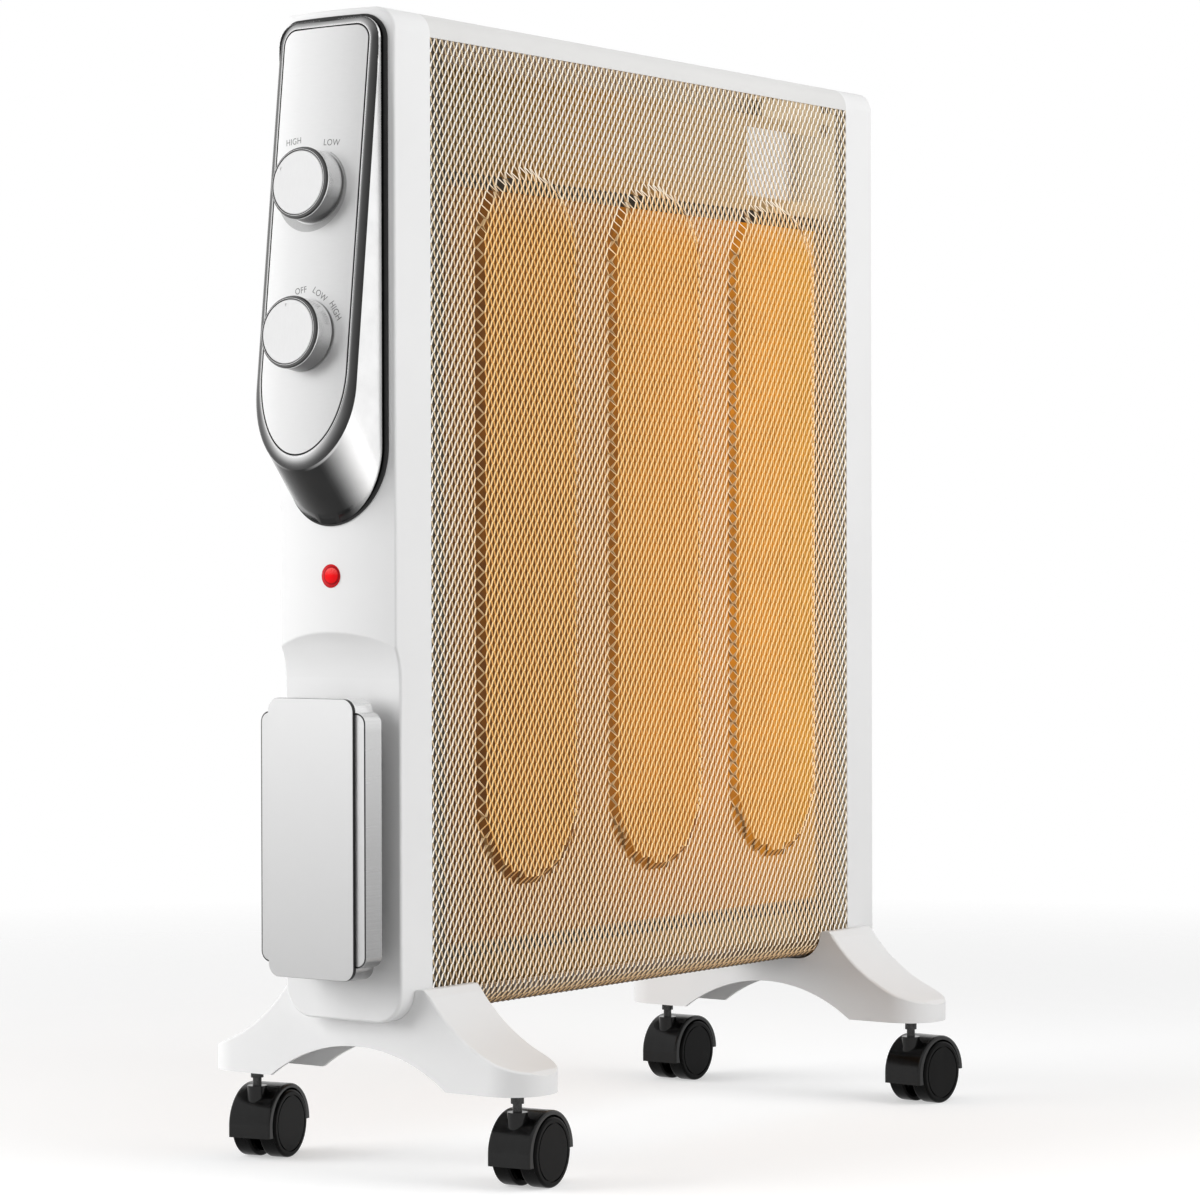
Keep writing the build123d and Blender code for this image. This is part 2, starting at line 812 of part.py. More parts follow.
def make_control_bezel():
    """Wedge-shaped housing with a bevel round its front and a ledge for the panel."""
    outer = housing_block(0) & panel_cylinder(0)
    front = outer.faces().sort_by(panel_distance)[-1]
    outer = outer.chamfer(bevel_depth, bevel_width, front.edges(), front)
    outer -= end_cylinder(seat_gap + rim_thickness + seat_gap)
    hollow = housing_block(bezel_wall) & panel_cylinder(-panel_thickness - bezel_wall - panel_bulge)
    window = extrude(panel_level(-hidden_reach) * panel_outline(-bezel_ledge), 2 * hidden_reach)
    pocket = extrude(panel_level(-panel_thickness) * panel_outline(panel_clearance), hidden_reach)
    return outer - hollow - window - pocket


def make_control_panel():
    """Plate with a convex face that lies in the bezel, with a hole for each shaft."""
    plate = extrude(panel_level(-panel_thickness) * panel_outline(0), hidden_reach)
    plate &= panel_cylinder(0)
    for place in (thermostat_place, switch_place):
        plate -= dial_rod(place, -hidden_reach, hidden_reach, shaft_radius + shaft_play)
    return plate


def dial_rod(place, low, high, radius):
    """A rod square to the control panel at a dial's place, between two heights over its plane."""
    start = panel_level(low).from_local_coords((0, place, 0))
    return rod(start, panel_normal, radius, high - low)


def carrier_box(grow, reach):
    """Rounded block behind the control panel that the carrier's raised part fills."""
    outline = RectangleRounded(
        2 * (carrier_box_half_width + grow),
        2 * (carrier_box_half_height + grow),
        carrier_box_corner + grow,
    )
    return extrude(panel_level(-carrier_depth) * Pos(0, dial_middle) * outline, -reach)


def make_control_carrier():
    """Black carrier: a thin rim on the end cap and a raised box that the dials' bodies hang in."""
    face = Plane(origin=(-half_length, 0, 0), x_dir=(0, -1, 0), z_dir=(-1, 0, 0))
    carrier = extrude(face * base_outline(rim_side, rim_end), hidden_reach)
    carrier &= end_cylinder(seat_gap + rim_thickness)
    for y, z in carrier_screw_points():
        top = -end_tip - seat_gap - carrier_boss_height
        carrier += rod((top, y, z), (1, 0, 0), screw_boss_radius, hidden_reach)
    carrier += carrier_box(0, hidden_reach)
    carrier -= end_cylinder(seat_gap)
    inside = RectangleRounded(
        2 * (carrier_box_half_width - carrier_wall),
        2 * (carrier_box_half_height - carrier_wall),
        carrier_box_corner - carrier_wall,
    )
    carrier -= extrude(panel_level(dial_seat) * Pos(0, dial_middle) * inside, -hidden_reach)
    carrier -= extrude(panel_level(-panel_thickness - seat_gap) * panel_outline(0), hidden_reach)
    for place in (thermostat_place, switch_place):
        carrier -= dial_rod(place, -hidden_reach, 0, neck_radius + seat_gap)
    seat = -half_length + carrier_seat_depth
    for y, z in carrier_screw_points():
        carrier -= rod((seat, y, z), (-1, 0, 0), screw_radius + screw_fit, small_screw_length)
    return carrier


def dial_body(place, width, depth):
    """Thermostat or switch: a block on the back of the carrier, with a neck round its shaft."""
    block = extrude(panel_level(dial_seat) * Pos(0, place) * Rectangle(width, width), -depth)
    corners = block.edges().filter_by(Axis(panel_plane.origin, panel_normal))
    block = fillet(corners, dial_body_corner)
    neck = dial_rod(place, dial_seat, -carrier_depth, neck_radius)
    bore = dial_rod(place, dial_seat - shaft_socket_depth, 0, shaft_radius + shaft_fit)
    return block + neck - bore


def make_knob_body(place):
    """Knob: a hollow cup with a hub on the shaft."""
    lower = panel_level(knob_start) * Pos(0, place) * Circle(knob_radius)
    upper = panel_level(knob_top) * Pos(0, place) * Circle(knob_top_radius)
    inside = knob_top - knob_wall
    cup = loft([lower, upper])
    cup -= dial_rod(place, knob_start, inside, knob_top_radius - knob_wall)
    cup += dial_rod(place, knob_start, knob_top, knob_hub_radius)
    return cup - dial_rod(place, knob_start, inside, shaft_radius + seat_gap)


def make_knob_ring(place):
    """Bright ring on the knob's front edge."""
    ring = dial_rod(place, knob_top, knob_top + knob_ring_height, knob_ring_radius)
    return ring - dial_rod(place, knob_top, knob_face, knob_cap_radius + knob_cap_gap)


def make_knob_cap(place, pointer_angle):
    """Disc inside the ring, with a small sunk pointer dot."""
    disc = dial_rod(place, knob_top, knob_face, knob_cap_radius)
    disc = fillet(disc.edges().sort_by(panel_distance)[-1], knob_cap_edge)
    distance = knob_cap_radius - pointer_from_edge
    across_dot = distance * cos(radians(pointer_angle))
    up_dot = distance * sin(radians(pointer_angle))
    floor = panel_level(knob_face - pointer_depth)
    start = floor.from_local_coords((across_dot, place + up_dot, 0))
    return disc - rod(start, panel_normal, pointer_radius, hidden_reach)


def make_shaft(place):
    """Shaft from inside the dial's body to the knob's hub."""
    inside = dial_seat - shaft_socket_depth + seat_gap
    return dial_rod(place, inside, knob_top - knob_wall - seat_gap, shaft_radius)


def make_lens():
    """Domed lens over a stem that goes through the end cap."""
    dome_radius = (lens_radius ** 2 + lens_dome ** 2) / (2 * lens_dome)
    dome = Pos(-end_tip - lens_dome + dome_radius, 0, lamp_place) * Sphere(dome_radius)
    dome &= rod((-half_length, 0, lamp_place), (-1, 0, 0), lens_radius, hidden_reach)
    dome -= end_cylinder(seat_gap)
    into_dome = lens_dome / 2
    stem_back = (-end_tip + lens_stem_length, 0, lamp_place)
    return dome + rod(stem_back, (-1, 0, 0), lens_stem_radius, lens_stem_length + into_dome)


def make_lamp():
    """Lamp holder against the back of the lens."""
    start = (-end_tip + lens_stem_length, 0, lamp_place)
    return rod(start, (1, 0, 0), lamp_radius, lamp_length)


def winder_block(half_width, height, corner, back, front):
    """Upright rounded block of the winder, between two distances from the middle of the heater."""
    outline = across(-back) * Pos(0, winder_middle) * RectangleRounded(2 * half_width, height, corner)
    return extrude(outline, back - front)


def make_winder_core():
    """Hollow core that the cord is wound on, between the recess and the winder's frame."""
    core = winder_block(
        winder_core_half_width,
        winder_core_height,
        winder_core_corner,
        recess_face,
        winder_back,
    )
    core -= winder_block(
        winder_core_half_width - winder_core_wall,
        winder_core_height - 2 * winder_core_wall,
        winder_core_corner - winder_core_wall,
        recess_face,
        winder_back - winder_core_wall,
    )
    bore_depth = small_screw_length - cap_wall
    for z in winder_screw_places:
        core += rod((-recess_face, 0, z), (-1, 0, 0), screw_boss_radius, winder_gap)
        core -= rod((-recess_face, 0, z), (-1, 0, 0), screw_radius + screw_fit, bore_depth)
    return core


def make_winder_frame():
    """Bright tray on the core, with wings that keep the wound cord in place."""
    frame = winder_block(
        winder_cover_half_width,
        winder_cover_height,
        winder_cover_corner,
        winder_back,
        winder_frame_front,
    )
    frame += winder_block(
        winder_cover_half_width + winder_wing_width,
        winder_wing_height,
        winder_wing_corner,
        winder_back + winder_wing_setback,
        winder_frame_front,
    )
    return frame - winder_block(
        winder_cover_half_width - winder_frame_wall,
        winder_cover_height - 2 * winder_frame_wall,
        winder_cover_corner - winder_frame_wall,
        winder_back + winder_frame_wall,
        winder_frame_front,
    )


def make_winder_cover():
    """Silver plate that closes the front of the winder."""
    cover = winder_block(
        winder_cover_half_width,
        winder_cover_height,
        winder_cover_corner,
        winder_frame_front,
        winder_front,
    )
    rim = cover.edges().filter_by(lambda e: abs(e.center().X + winder_front) < near_enough)
    return fillet(rim, winder_cover_edge)


def foot_face():
    """The foot's outline from its end, without the arch, as a face."""
    shoulder = (foot_ear_outer + foot_shoulder_out, foot_ear_top - foot_shoulder_drop)
    toe = (foot_half_span - foot_toe_setback, foot_toe)
    edge = Polyline(
        (0, foot_bottom),
        (foot_half_span, foot_bottom),
        (foot_half_span, foot_toe - foot_toe_drop),
        toe,
    )
    edge += SagittaArc(toe, shoulder, foot_dip)
    edge += Polyline(shoulder, (foot_ear_outer, foot_ear_top), (0, foot_ear_top), (0, foot_bottom))
    half = make_face(edge)
    return half + mirror(half, Plane.YZ)


def foot_plan(inset):
    """The foot's rounded outline from above, drawn in by an inset, as a tall block."""
    width = foot_width - 2 * inset
    radius = foot_width / 2 - foot_tip_flat - inset
    outline = RectangleRounded(width, 2 * (foot_half_span - inset), radius)
    return Pos(-foot_centre, 0, 0) * extrude(outline, body_top)


def foot_blank(start):
    """The solid foot with its saddle and rounded edges, before it is hollowed."""
    blank = extrude(across(start) * foot_face(), foot_width) & foot_plan(0)
    blank -= body_prism(-seat_gap, start - cut_past, start + foot_width + cut_past)

    def is_ear_edge(edge):
        middle = edge.center()
        return abs(middle.Z - foot_ear_top) < near_enough and abs(middle.X + foot_centre) < near_enough

    def is_long_upper_edge(edge):
        middle = edge.center()
        on_side = abs(abs(middle.X + foot_centre) - foot_width / 2) < near_enough
        return on_side and abs(middle.Y) > foot_ear_outer + foot_shoulder_out and middle.Z > foot_toe

    blank = fillet(blank.edges().filter_by(is_ear_edge), foot_ear_radius)
    return fillet(blank.edges().filter_by(is_long_upper_edge), foot_edge_radius)


def foot_hollow(start):
    """What is taken from inside the foot, which is open below."""
    walls = offset(foot_face() - body_section(-seat_gap), -foot_wall, kind=Kind.INTERSECTION)
    room_height = foot_saddle - 2 * foot_wall
    below_saddle = Pos(0, room_height / 2 + foot_wall) * Rectangle(2 * foot_half_span, room_height)
    hollow = extrude(across(start) * (walls & below_saddle), foot_width)
    hollow += slab(
        (start, start + foot_width),
        (-foot_half_span + foot_wall, foot_half_span - foot_wall),
        (0, foot_bottom + foot_wall),
    )
    return hollow & foot_plan(foot_wall)


def make_near_foot():
    """Hollow arched foot with a saddle for the body, bosses for two castors, and holes for screws."""
    start = -foot_centre - foot_width / 2
    blank = foot_blank(start)
    foot = blank - foot_hollow(start)
    foot += foot_bosses(start) & blank
    foot -= arch_cutter(start)
    foot += foot_pad()
    root_hole_depth = stem_root_length + stem_end_gap
    for y in (-castor_spread, castor_spread):
        foot -= rod((-foot_centre, y, foot_bottom), (0, 0, 1), stem_root_radius + stem_fit, root_hole_depth)
    for x, y in foot_screw_points()[:2]:
        foot -= rod((x, y, foot_bottom), (0, 0, 1), screw_radius + screw_hole_play, hidden_reach)
    return foot


def foot_bosses(start):
    """Bosses for the castors' stems, each with two ribs."""
    bosses = Part()
    for y in (-castor_spread, castor_spread):
        bosses += rod((-foot_centre, y, foot_bottom), (0, 0, 1), stem_boss_radius, hidden_reach)
        bosses += slab(
            (start, start + foot_width),
            (y - foot_rib / 2, y + foot_rib / 2),
            (foot_bottom, foot_bottom + hidden_reach),
        )
    return bosses


def arch_cutter(start):
    """What the arch takes from both long walls of the foot."""
    radius = (arch_half_width ** 2 + arch_rise ** 2) / (2 * arch_rise)
    low_end = (start - cut_past, 0, foot_bottom + arch_rise - radius)
    return rod(low_end, (1, 0, 0), radius, foot_width + 2 * cut_past)


def foot_pad():
    """Raised pad of the foot that carries the bottom plate."""
    return slab(
        (-cap_inner + foot_pad_start, -cap_inner + foot_pad_end),
        (-foot_pad_half_width, foot_pad_half_width),
        (foot_saddle - foot_wall, plate_low),
    )


def castor_places():
    """Name, place and resting swivel angle of each castor."""
    places = {}
    for name, angle in castor_angles.items():
        x = -foot_centre if "near" in name else foot_centre
        y = -castor_spread if "front" in name else castor_spread
        places[name] = (x, y, angle)
    return places


def castor_frame(place):
    """Moves a castor's piece from its own frame, with the stem at the origin, to its place."""
    x, y, angle = place
    return Pos(x, y, 0) * Rot(0, 0, angle)


def make_castor_stem(place):
    """Fixed stem: a root in the foot, a disc under it, a neck and the swivel pin."""
    x, y, angle = place
    pin_bottom = socket_floor + stem_end_gap
    stem = rod((x, y, foot_bottom), (0, 0, 1), stem_root_radius, stem_root_length)
    stem += rod((x, y, stem_disc_bottom), (0, 0, 1), stem_disc_radius, stem_disc_thickness)
    stem += rod((x, y, stem_neck_bottom), (0, 0, 1), stem_neck_radius, stem_neck_length)
    return stem + rod((x, y, pin_bottom), (0, 0, 1), stem_pin_radius, stem_neck_bottom - pin_bottom)


def axle_rod(radius, width):
    """A cylinder round the wheels' axle, in the castor's own frame."""
    return rod((castor_trail, -width / 2, wheel_radius), (0, 1, 0), radius, width)


def hood_blank():
    """The solid hood, half an ellipse seen from its side with a lip below its nose."""
    side = Plane(origin=(castor_trail, 0, wheel_radius), x_dir=(1, 0, 0), z_dir=(0, -1, 0))
    ellipse = side * Ellipse(hood_half_length, hood_top - wheel_radius)
    nose = castor_trail - hood_half_length
    sides = (-hood_width / 2, hood_width / 2)
    blank = extrude(ellipse, hood_width / 2, both=True)
    blank &= slab((nose, castor_trail + hood_half_length), sides, (wheel_radius, hood_top))
    blank += slab((nose, castor_trail - wheel_radius), sides, (wheel_radius - hood_front_drop, wheel_radius))

    def is_top_side_edge(edge):
        on_side = abs(abs(edge.center().Y) - hood_width / 2) < near_enough
        return on_side and edge.geom_type == GeomType.ELLIPSE

    return fillet(blank.edges().filter_by(is_top_side_edge), hood_edge_radius)


def make_hood():
    """Hood over both wheels, with a web between them and a socket for the stem."""
    hood = hood_blank()
    hood += rod((0, 0, wheel_radius), (0, 0, 1), socket_radius, hood_top - wheel_radius)
    hood -= axle_rod(hood_clear_radius, 2 * hood_width)
    web = axle_rod(hood_clear_radius + hood_web_root, hood_web_width)
    web &= slab(
        (castor_trail - hood_clear_radius - hood_web_root, castor_trail + hood_clear_radius),
        (-hood_web_width, hood_web_width),
        (wheel_radius - hood_web_drop, hood_top),
    )
    hood += web
    hood -= axle_rod(axle_radius + axle_hood_fit, hood_web_width)
    return hood - rod((0, 0, socket_floor), (0, 0, 1), stem_pin_radius + stem_fit, hood_top)


def make_axle():
    """Axle through the hood's web and into both wheels."""
    return axle_rod(axle_radius, wheel_gap + 2 * axle_wheel_depth)


def make_wheel(side):
    """One wheel of a castor: rim, web and hub, open towards the other wheel, grooved outside."""
    inner = side * wheel_gap / 2
    centre = (castor_trail, inner, wheel_radius)
    outward = (0, side, 0)
    wheel = rod(centre, outward, wheel_radius, wheel_width)
    wheel = fillet(wheel.edges().filter_by(GeomType.CIRCLE), wheel_edge_radius)
    hollow_depth = wheel_width - wheel_web
    hollow = rod(centre, outward, wheel_radius - wheel_rim, hollow_depth)
    wheel -= hollow - rod(centre, outward, wheel_hub_radius, hollow_depth)
    groove_start = (castor_trail, inner + side * (wheel_width - wheel_groove_depth), wheel_radius)
    groove_radius = wheel_radius - wheel_groove_inset
    groove = rod(groove_start, outward, groove_radius, wheel_groove_depth)
    wheel -= groove - rod(groove_start, outward, groove_radius - wheel_groove_width, wheel_groove_depth)
    return wheel - rod(centre, outward, axle_radius + axle_wheel_fit, axle_wheel_depth + axle_end_gap)


def screw(start, direction, length):
    """Round-headed screw with its head's underside at the start and its shank along the direction."""
    shank = rod(start, direction, screw_radius, length)
    return shank + rod(start, Vector(*direction) * -1, screw_head_radius, screw_head_height)


def make_large_screws():
    """Screws of the end caps and of the feet."""
    screws = []
    for side in (-1, 1):
        for y in (-cap_screw_half_spread, cap_screw_half_spread):
            for z in cap_screw_places:
                start = (side * wall_inner, y, z)
                screws.append(screw(start, (side, 0, 0), large_screw_length))
    for x, y in foot_screw_points():
        screws.append(screw((x, y, foot_saddle - foot_wall), (0, 0, 1), large_screw_length))
    return Compound(screws)


def make_small_screws():
    """Screws of the control carrier and of the winder."""
    screws = []
    for y, z in carrier_screw_points():
        screws.append(screw((-half_length + carrier_seat_depth, y, z), (-1, 0, 0), small_screw_length))
    for z in winder_screw_places:
        screws.append(screw((-recess_face + cap_wall, 0, z), (-1, 0, 0), small_screw_length))
    return Compound(screws)


def make_terminal_block():
    """Terminal block on the control-side wall, level with the lamp."""
    return slab(
        (-cap_inner - block_depth, -cap_inner),
        (-block_width / 2, block_width / 2),
        (lamp_place - block_height / 2, lamp_place + block_height / 2),
    )


def make_tip_switch():
    """Sealed tip-over switch on the control-side wall, below the terminal block."""
    return slab(
        (-cap_inner - tip_switch_depth, -cap_inner),
        (-tip_switch_width / 2, tip_switch_width / 2),
        (tip_switch_place - tip_switch_height / 2, tip_switch_place + tip_switch_height / 2),
    )


def lead(points):
    """A lead along straight runs joined by round bends."""
    path = FilletPolyline(*points, radius=lead_bend) if len(points) > 2 else Line(*points)
    start = Plane(origin=path @ 0, z_dir=path % 0)
    return sweep(start * Circle(lead_radius), path=path)


def back_of_dial(place, depth, y):
    """A point on the back face of a dial's body."""
    return panel_level(dial_seat - depth).from_local_coords((-y, place, 0))


def inward(start, x):
    """The point reached from a dial's back, square to the panel, at a place along X."""
    return start + panel_normal * ((x - start.X) / panel_normal.X)


def make_leads():
    """Leads between the terminal block, dials, lamp, tip-over switch and heating panels."""
    block_top = lamp_place + block_height / 2
    block_low = lamp_place - block_height / 2
    block_face = -cap_inner - block_depth
    riser = -cap_inner - block_depth / 2
    tip_top = tip_switch_place + tip_switch_height / 2
    lamp_back = -end_tip + lens_stem_length + lamp_length
    drop = terminal_middle()
    lower_terminal, upper_terminal = [z + terminal_size / 2 for z in terminal_heights()]
    leads = []
    for y in (-lead_spread, lead_spread):
        switch_back = back_of_dial(switch_place, switch_depth, y)
        leads.append(lead([switch_back, inward(switch_back, riser), Vector(riser, y, block_top)]))
        thermostat_back = back_of_dial(thermostat_place, thermostat_depth, y)
        leads.append(lead([
            thermostat_back,
            inward(thermostat_back, riser),
            Vector(riser, y, upper_lead_place),
            Vector(drop, y, upper_lead_place),
            Vector(drop, y, upper_terminal),
        ]))
        leads.append(lead([
            Vector(riser, y, block_low),
            Vector(riser, y, lower_lead_place),
            Vector(drop, y, lower_lead_place),
            Vector(drop, y, lower_terminal),
        ]))
    switch_middle = back_of_dial(switch_place, switch_depth, 0)
    thermostat_middle = back_of_dial(thermostat_place, thermostat_depth, 0)
    leads.append(lead([
        switch_middle,
        inward(switch_middle, block_face),
        inward(thermostat_middle, block_face),
        thermostat_middle,
    ]))
    leads.append(lead([Vector(riser, 0, block_low), Vector(riser, 0, tip_top)]))
    leads.append(lead([Vector(lamp_back, 0, lamp_place), Vector(block_face, 0, lamp_place)]))
    return Compound(leads)


def gland_start():
    """Where the cord's gland starts inside the rear flank of the control end cap."""
    middle = -cap_inner - cap_length / 2
    return Vector(middle, half_depth + gland_flange_thickness - gland_length, gland_place)


def make_cord_gland():
    """Flanged bush that the cord would enter through."""
    start = gland_start()
    flange_start = Vector(start.X, half_depth, start.Z)
    gland = rod(start, (0, 1, 0), gland_body_radius, gland_length)
    gland += rod(flange_start, (0, 1, 0), gland_flange_radius, gland_flange_thickness)
    return gland - rod(start, (0, 1, 0), gland_bore, gland_length)


def make_all():
    """Every piece by its node name, still in the body's frame."""
    front_grille = make_front_grille()
    near_foot = make_near_foot()
    pieces = {
        "control_end_cap": make_control_end_cap(),
        "far_end_cap": make_far_end_cap(),
        "top_rail": make_top_rail(),
        "bottom_plate": make_bottom_plate(),
        "front_grille": front_grille,
        "rear_grille": mirror(front_grille, Plane.XZ),
        "control_end_wall": make_control_end_wall(),
        "far_end_wall": make_far_end_wall(),
        "panel_channels": make_panel_channels(),
        "front_mica_sheets": mica_sheets(-1),
        "rear_mica_sheets": mica_sheets(1),
        "front_heating_ribbon": heating_ribbon(-1),
        "rear_heating_ribbon": heating_ribbon(1),
        "reflector_plate": make_reflector(),
        "ceramic_terminals": make_terminals(),
        "cutout_bracket": make_cutout_bracket(),
        "thermal_cutout": make_cutout(),
        "control_carrier": make_control_carrier(),
        "control_bezel": make_control_bezel(),
        "control_panel": make_control_panel(),
        "indicator_lens": make_lens(),
        "indicator_lamp": make_lamp(),
        "thermostat_body": dial_body(thermostat_place, thermostat_width, thermostat_depth),
        "thermostat_shaft": make_shaft(thermostat_place),
        "thermostat_knob": make_knob_body(thermostat_place),
        "thermostat_knob_ring": make_knob_ring(thermostat_place),
        "thermostat_knob_cap": make_knob_cap(thermostat_place, thermostat_pointer_angle),
        "switch_body": dial_body(switch_place, switch_width, switch_depth),
        "switch_shaft": make_shaft(switch_place),
        "switch_knob": make_knob_body(switch_place),
        "switch_knob_ring": make_knob_ring(switch_place),
        "switch_knob_cap": make_knob_cap(switch_place, switch_pointer_angle),
        "winder_core": make_winder_core(),
        "winder_frame": make_winder_frame(),
        "winder_cover": make_winder_cover(),
        "near_foot": near_foot,
        "far_foot": mirror(near_foot, Plane.YZ),
        "castor_stems": Compound([make_castor_stem(place) for place in castor_places().values()]),
        "terminal_block": make_terminal_block(),
        "tip_over_switch": make_tip_switch(),
        "internal_leads": make_leads(),
        "cord_gland": make_cord_gland(),
        "large_screws": make_large_screws(),
        "small_screws": make_small_screws(),
    }
    for name, place in castor_places().items():
        frame = castor_frame(place)
        pieces[name + "_castor_hood"] = frame * make_hood()
        pieces[name + "_castor_axle"] = frame * make_axle()
        pieces[name + "_castor_wheel_left"] = frame * make_wheel(-1)
        pieces[name + "_castor_wheel_right"] = frame * make_wheel(1)
    return pieces


def middle_shift(pieces):
    """The move along X that brings the middle of the whole heater's length to X = 0."""
    boxes = [piece.bounding_box() for piece in pieces.values()]
    low = min(box.min.X for box in boxes)
    high = max(box.max.X for box in boxes)
    return -(low + high) / 2


def main():
    """Builds every piece and writes each to its own file."""
    os.makedirs("parts", exist_ok=True)
    pieces = make_all()
    shift = middle_shift(pieces)
    print("moved along X by", round(shift, 4))
    for name, piece in pieces.items():
        export_step(Pos(shift, 0, 0) * piece, os.path.join("parts", name + ".step"))


main()
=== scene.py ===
from math import cos, pi, radians, sin, tan

import bpy
import numpy as np
from mathutils import Matrix, Vector


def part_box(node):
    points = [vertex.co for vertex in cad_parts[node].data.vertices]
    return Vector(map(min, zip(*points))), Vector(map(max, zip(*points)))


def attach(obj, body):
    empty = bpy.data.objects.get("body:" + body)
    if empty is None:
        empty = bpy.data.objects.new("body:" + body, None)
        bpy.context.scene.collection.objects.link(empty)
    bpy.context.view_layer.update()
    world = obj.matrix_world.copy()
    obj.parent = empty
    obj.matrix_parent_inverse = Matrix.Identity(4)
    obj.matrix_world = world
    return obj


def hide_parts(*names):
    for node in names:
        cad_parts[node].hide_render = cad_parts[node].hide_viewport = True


# A free-standing mica panel heater on castors. All lengths are in metres.
# X runs along the heater with the controls at -X, the front grille faces -Y, and Z is up.

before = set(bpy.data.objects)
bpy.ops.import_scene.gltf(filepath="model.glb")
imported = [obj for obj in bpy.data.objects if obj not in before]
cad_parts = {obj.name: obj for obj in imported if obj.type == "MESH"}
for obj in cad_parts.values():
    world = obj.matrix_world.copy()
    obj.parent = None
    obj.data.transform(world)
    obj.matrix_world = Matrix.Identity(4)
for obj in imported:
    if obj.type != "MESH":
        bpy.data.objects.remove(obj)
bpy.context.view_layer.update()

# Body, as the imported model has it
front_low, front_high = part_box("front_grille")
body_middle = (front_low.x + front_high.x) / 2
grille_half_length = (front_high.x - front_low.x) / 2
half_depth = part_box("top_rail")[1].y
grille_top = front_high.z
grille_bottom = front_low.z

# Camera: where it stands, how it is turned, and its focal length as a share of the picture's width
camera_place = (-1.79948, -1.32609, 0.33151)
camera_azimuth = -53.913
camera_pitch = 0.5
camera_roll = -0.145
camera_focal_share = 3.19025
camera_sensor = 0.036

# Expanded metal of the grilles: cell along and down the sheet, strand width, tilt and thickness
cell_length = 0.00494
cell_height = 0.00787
strand_width = 0.00066
strand_tilt = 35.0
strand_thickness = 0.00045
bond_overlap = 0.00012
sheet_curl_radius = 0.0155
sheet_lower_lip = 0.0031

# Raised ribs of the grilles
rib_pitch = 0.123
rib_half_width = 0.045
rib_low = 0.157
rib_high = 0.551
rib_height = 0.0042
rib_wall = 0.0024

# Control panel, which leans outward towards its lower end
panel_tilt = 6.25
panel_reach = 0.030 + 0.0196
panel_origin = Vector((front_low.x - panel_reach, 0, 0.5057))
panel_half_width = 0.029
panel_bulge = 0.002
dial_middle = -0.0114
dial_spacing = 0.080
print_height = 0.00004

# Bezel: outlines of the panel and of the housing's foot on the end cap
panel_half_height = 0.115
panel_corner = 0.008
panel_ellipse = 0.0443
bevel_width = 0.0059
bevel_depth = 0.0018
bevel_roundness = 0.0004
front_height = 0.003
base_half_width = 0.0347
base_corner = 0.012
base_ellipse = 0.0415
end_radius = 0.15260
rim_lift = 0.0008
base_step = 0.0006
# Where the painted highlight line at the top of the walls starts and ends, as shares of the way
# down them
smooth_edge = 0.004
bright_line = 0.030

# Dials
knob_height = 0.0105
knob_start = 0.0024
ring_steps = 96

# Indicator lens: how far the middle of its painted light and shade rings stands from its middle,
# across and up
lens_shift = (-0.0013, 0.0003)

# Winder: wings of the frame, whose face stands back from the cover's
wing_inner = 0.0296
wing_outer = 0.0366
wing_height = 0.1352
wing_corner = 0.006
wing_setback = 0.0025
wing_rim = 0.0003
wing_groove = 0.0007
groove_thickness = 0.00005
inlay_thickness = 0.0003

# How finely outlines are drawn
corner_steps = 8
side_steps = 10
ellipse_steps = 48

# Bezel's lip beside the panel: growth of the outline, height over the panel's face, and tone, which
# gives a dark line at the joint and then a painted bright highlight line
lip_profile = [
    (0.00015, -0.0012, 0.03),
    (0.00020, -0.0001, 0.03),
    (0.00095, 0.0, 0.03),
    (0.00105, 0.00005, 0.9),
    (0.00140, 0.0, 0.9),
]

# Bezel's bevel from its inner to its outer edge: tone where it faces up, right, down and left,
# which paints its reflections as light and dark bands
painted_bevel_tones = [
    (0.86, 0.60, 1.00, 0.80),
    (0.60, 0.17, 0.76, 0.30),
    (0.45, 0.09, 0.58, 0.14),
    (0.39, 0.07, 0.38, 0.09),
    (0.31, 0.06, 0.22, 0.07),
    (0.24, 0.05, 0.12, 0.06),
    (0.17, 0.04, 0.08, 0.05),
    (0.07, 0.04, 0.06, 0.05),
]

# Housing's walls from the bevel to the end cap: share of the way, and share of the tone kept. The
# tones below paint reflections: dark where the walls face down, bright where they face up or
# sideways, and a bright highlight line at the bevel's edge
wall_profile = [(0.05, 1.0), (0.80, 1.0), (1.0, 1.0)]
wall_dark = 0.028
wall_bright = 0.92
line_tone = 0.9

# Dark rim at the housing's foot: where it starts, how soon it is dark, and its tone
rim_start = 0.45
rim_turn = 0.06
rim_tone = 0.02

# Knob's ring: radius, height over the knob's body, and tone, which paints its reflections: dark on
# the slope, with a bright highlight line at each edge
ring_profile = [
    (0.01732, 0.0016, 0.04),
    (0.01736, 0.00240, 0.05),
    (0.01770, 0.00240, 0.06),
    (0.01776, 0.00240, 0.80),
    (0.01794, 0.00236, 0.80),
    (0.01802, 0.00232, 0.08),
    (0.01860, 0.00200, 0.13),
    (0.01910, 0.00150, 0.05),
    (0.01945, 0.00060, 0.04),
    (0.01952, 0.00035, 0.85),
    (0.01955, 0.00000, 0.85),
]

# Print on the control panel
thermostat_dial = dial_middle + dial_spacing / 2
switch_dial = dial_middle - dial_spacing / 2
label_size = 0.0049
label_narrow = 0.92
sweep_inner = 0.0204
sweep_start = 62.0
sweep_turn = 264.0
sweep_width_start = 0.0005
sweep_width_end = 0.0080
sweep_steps = 96

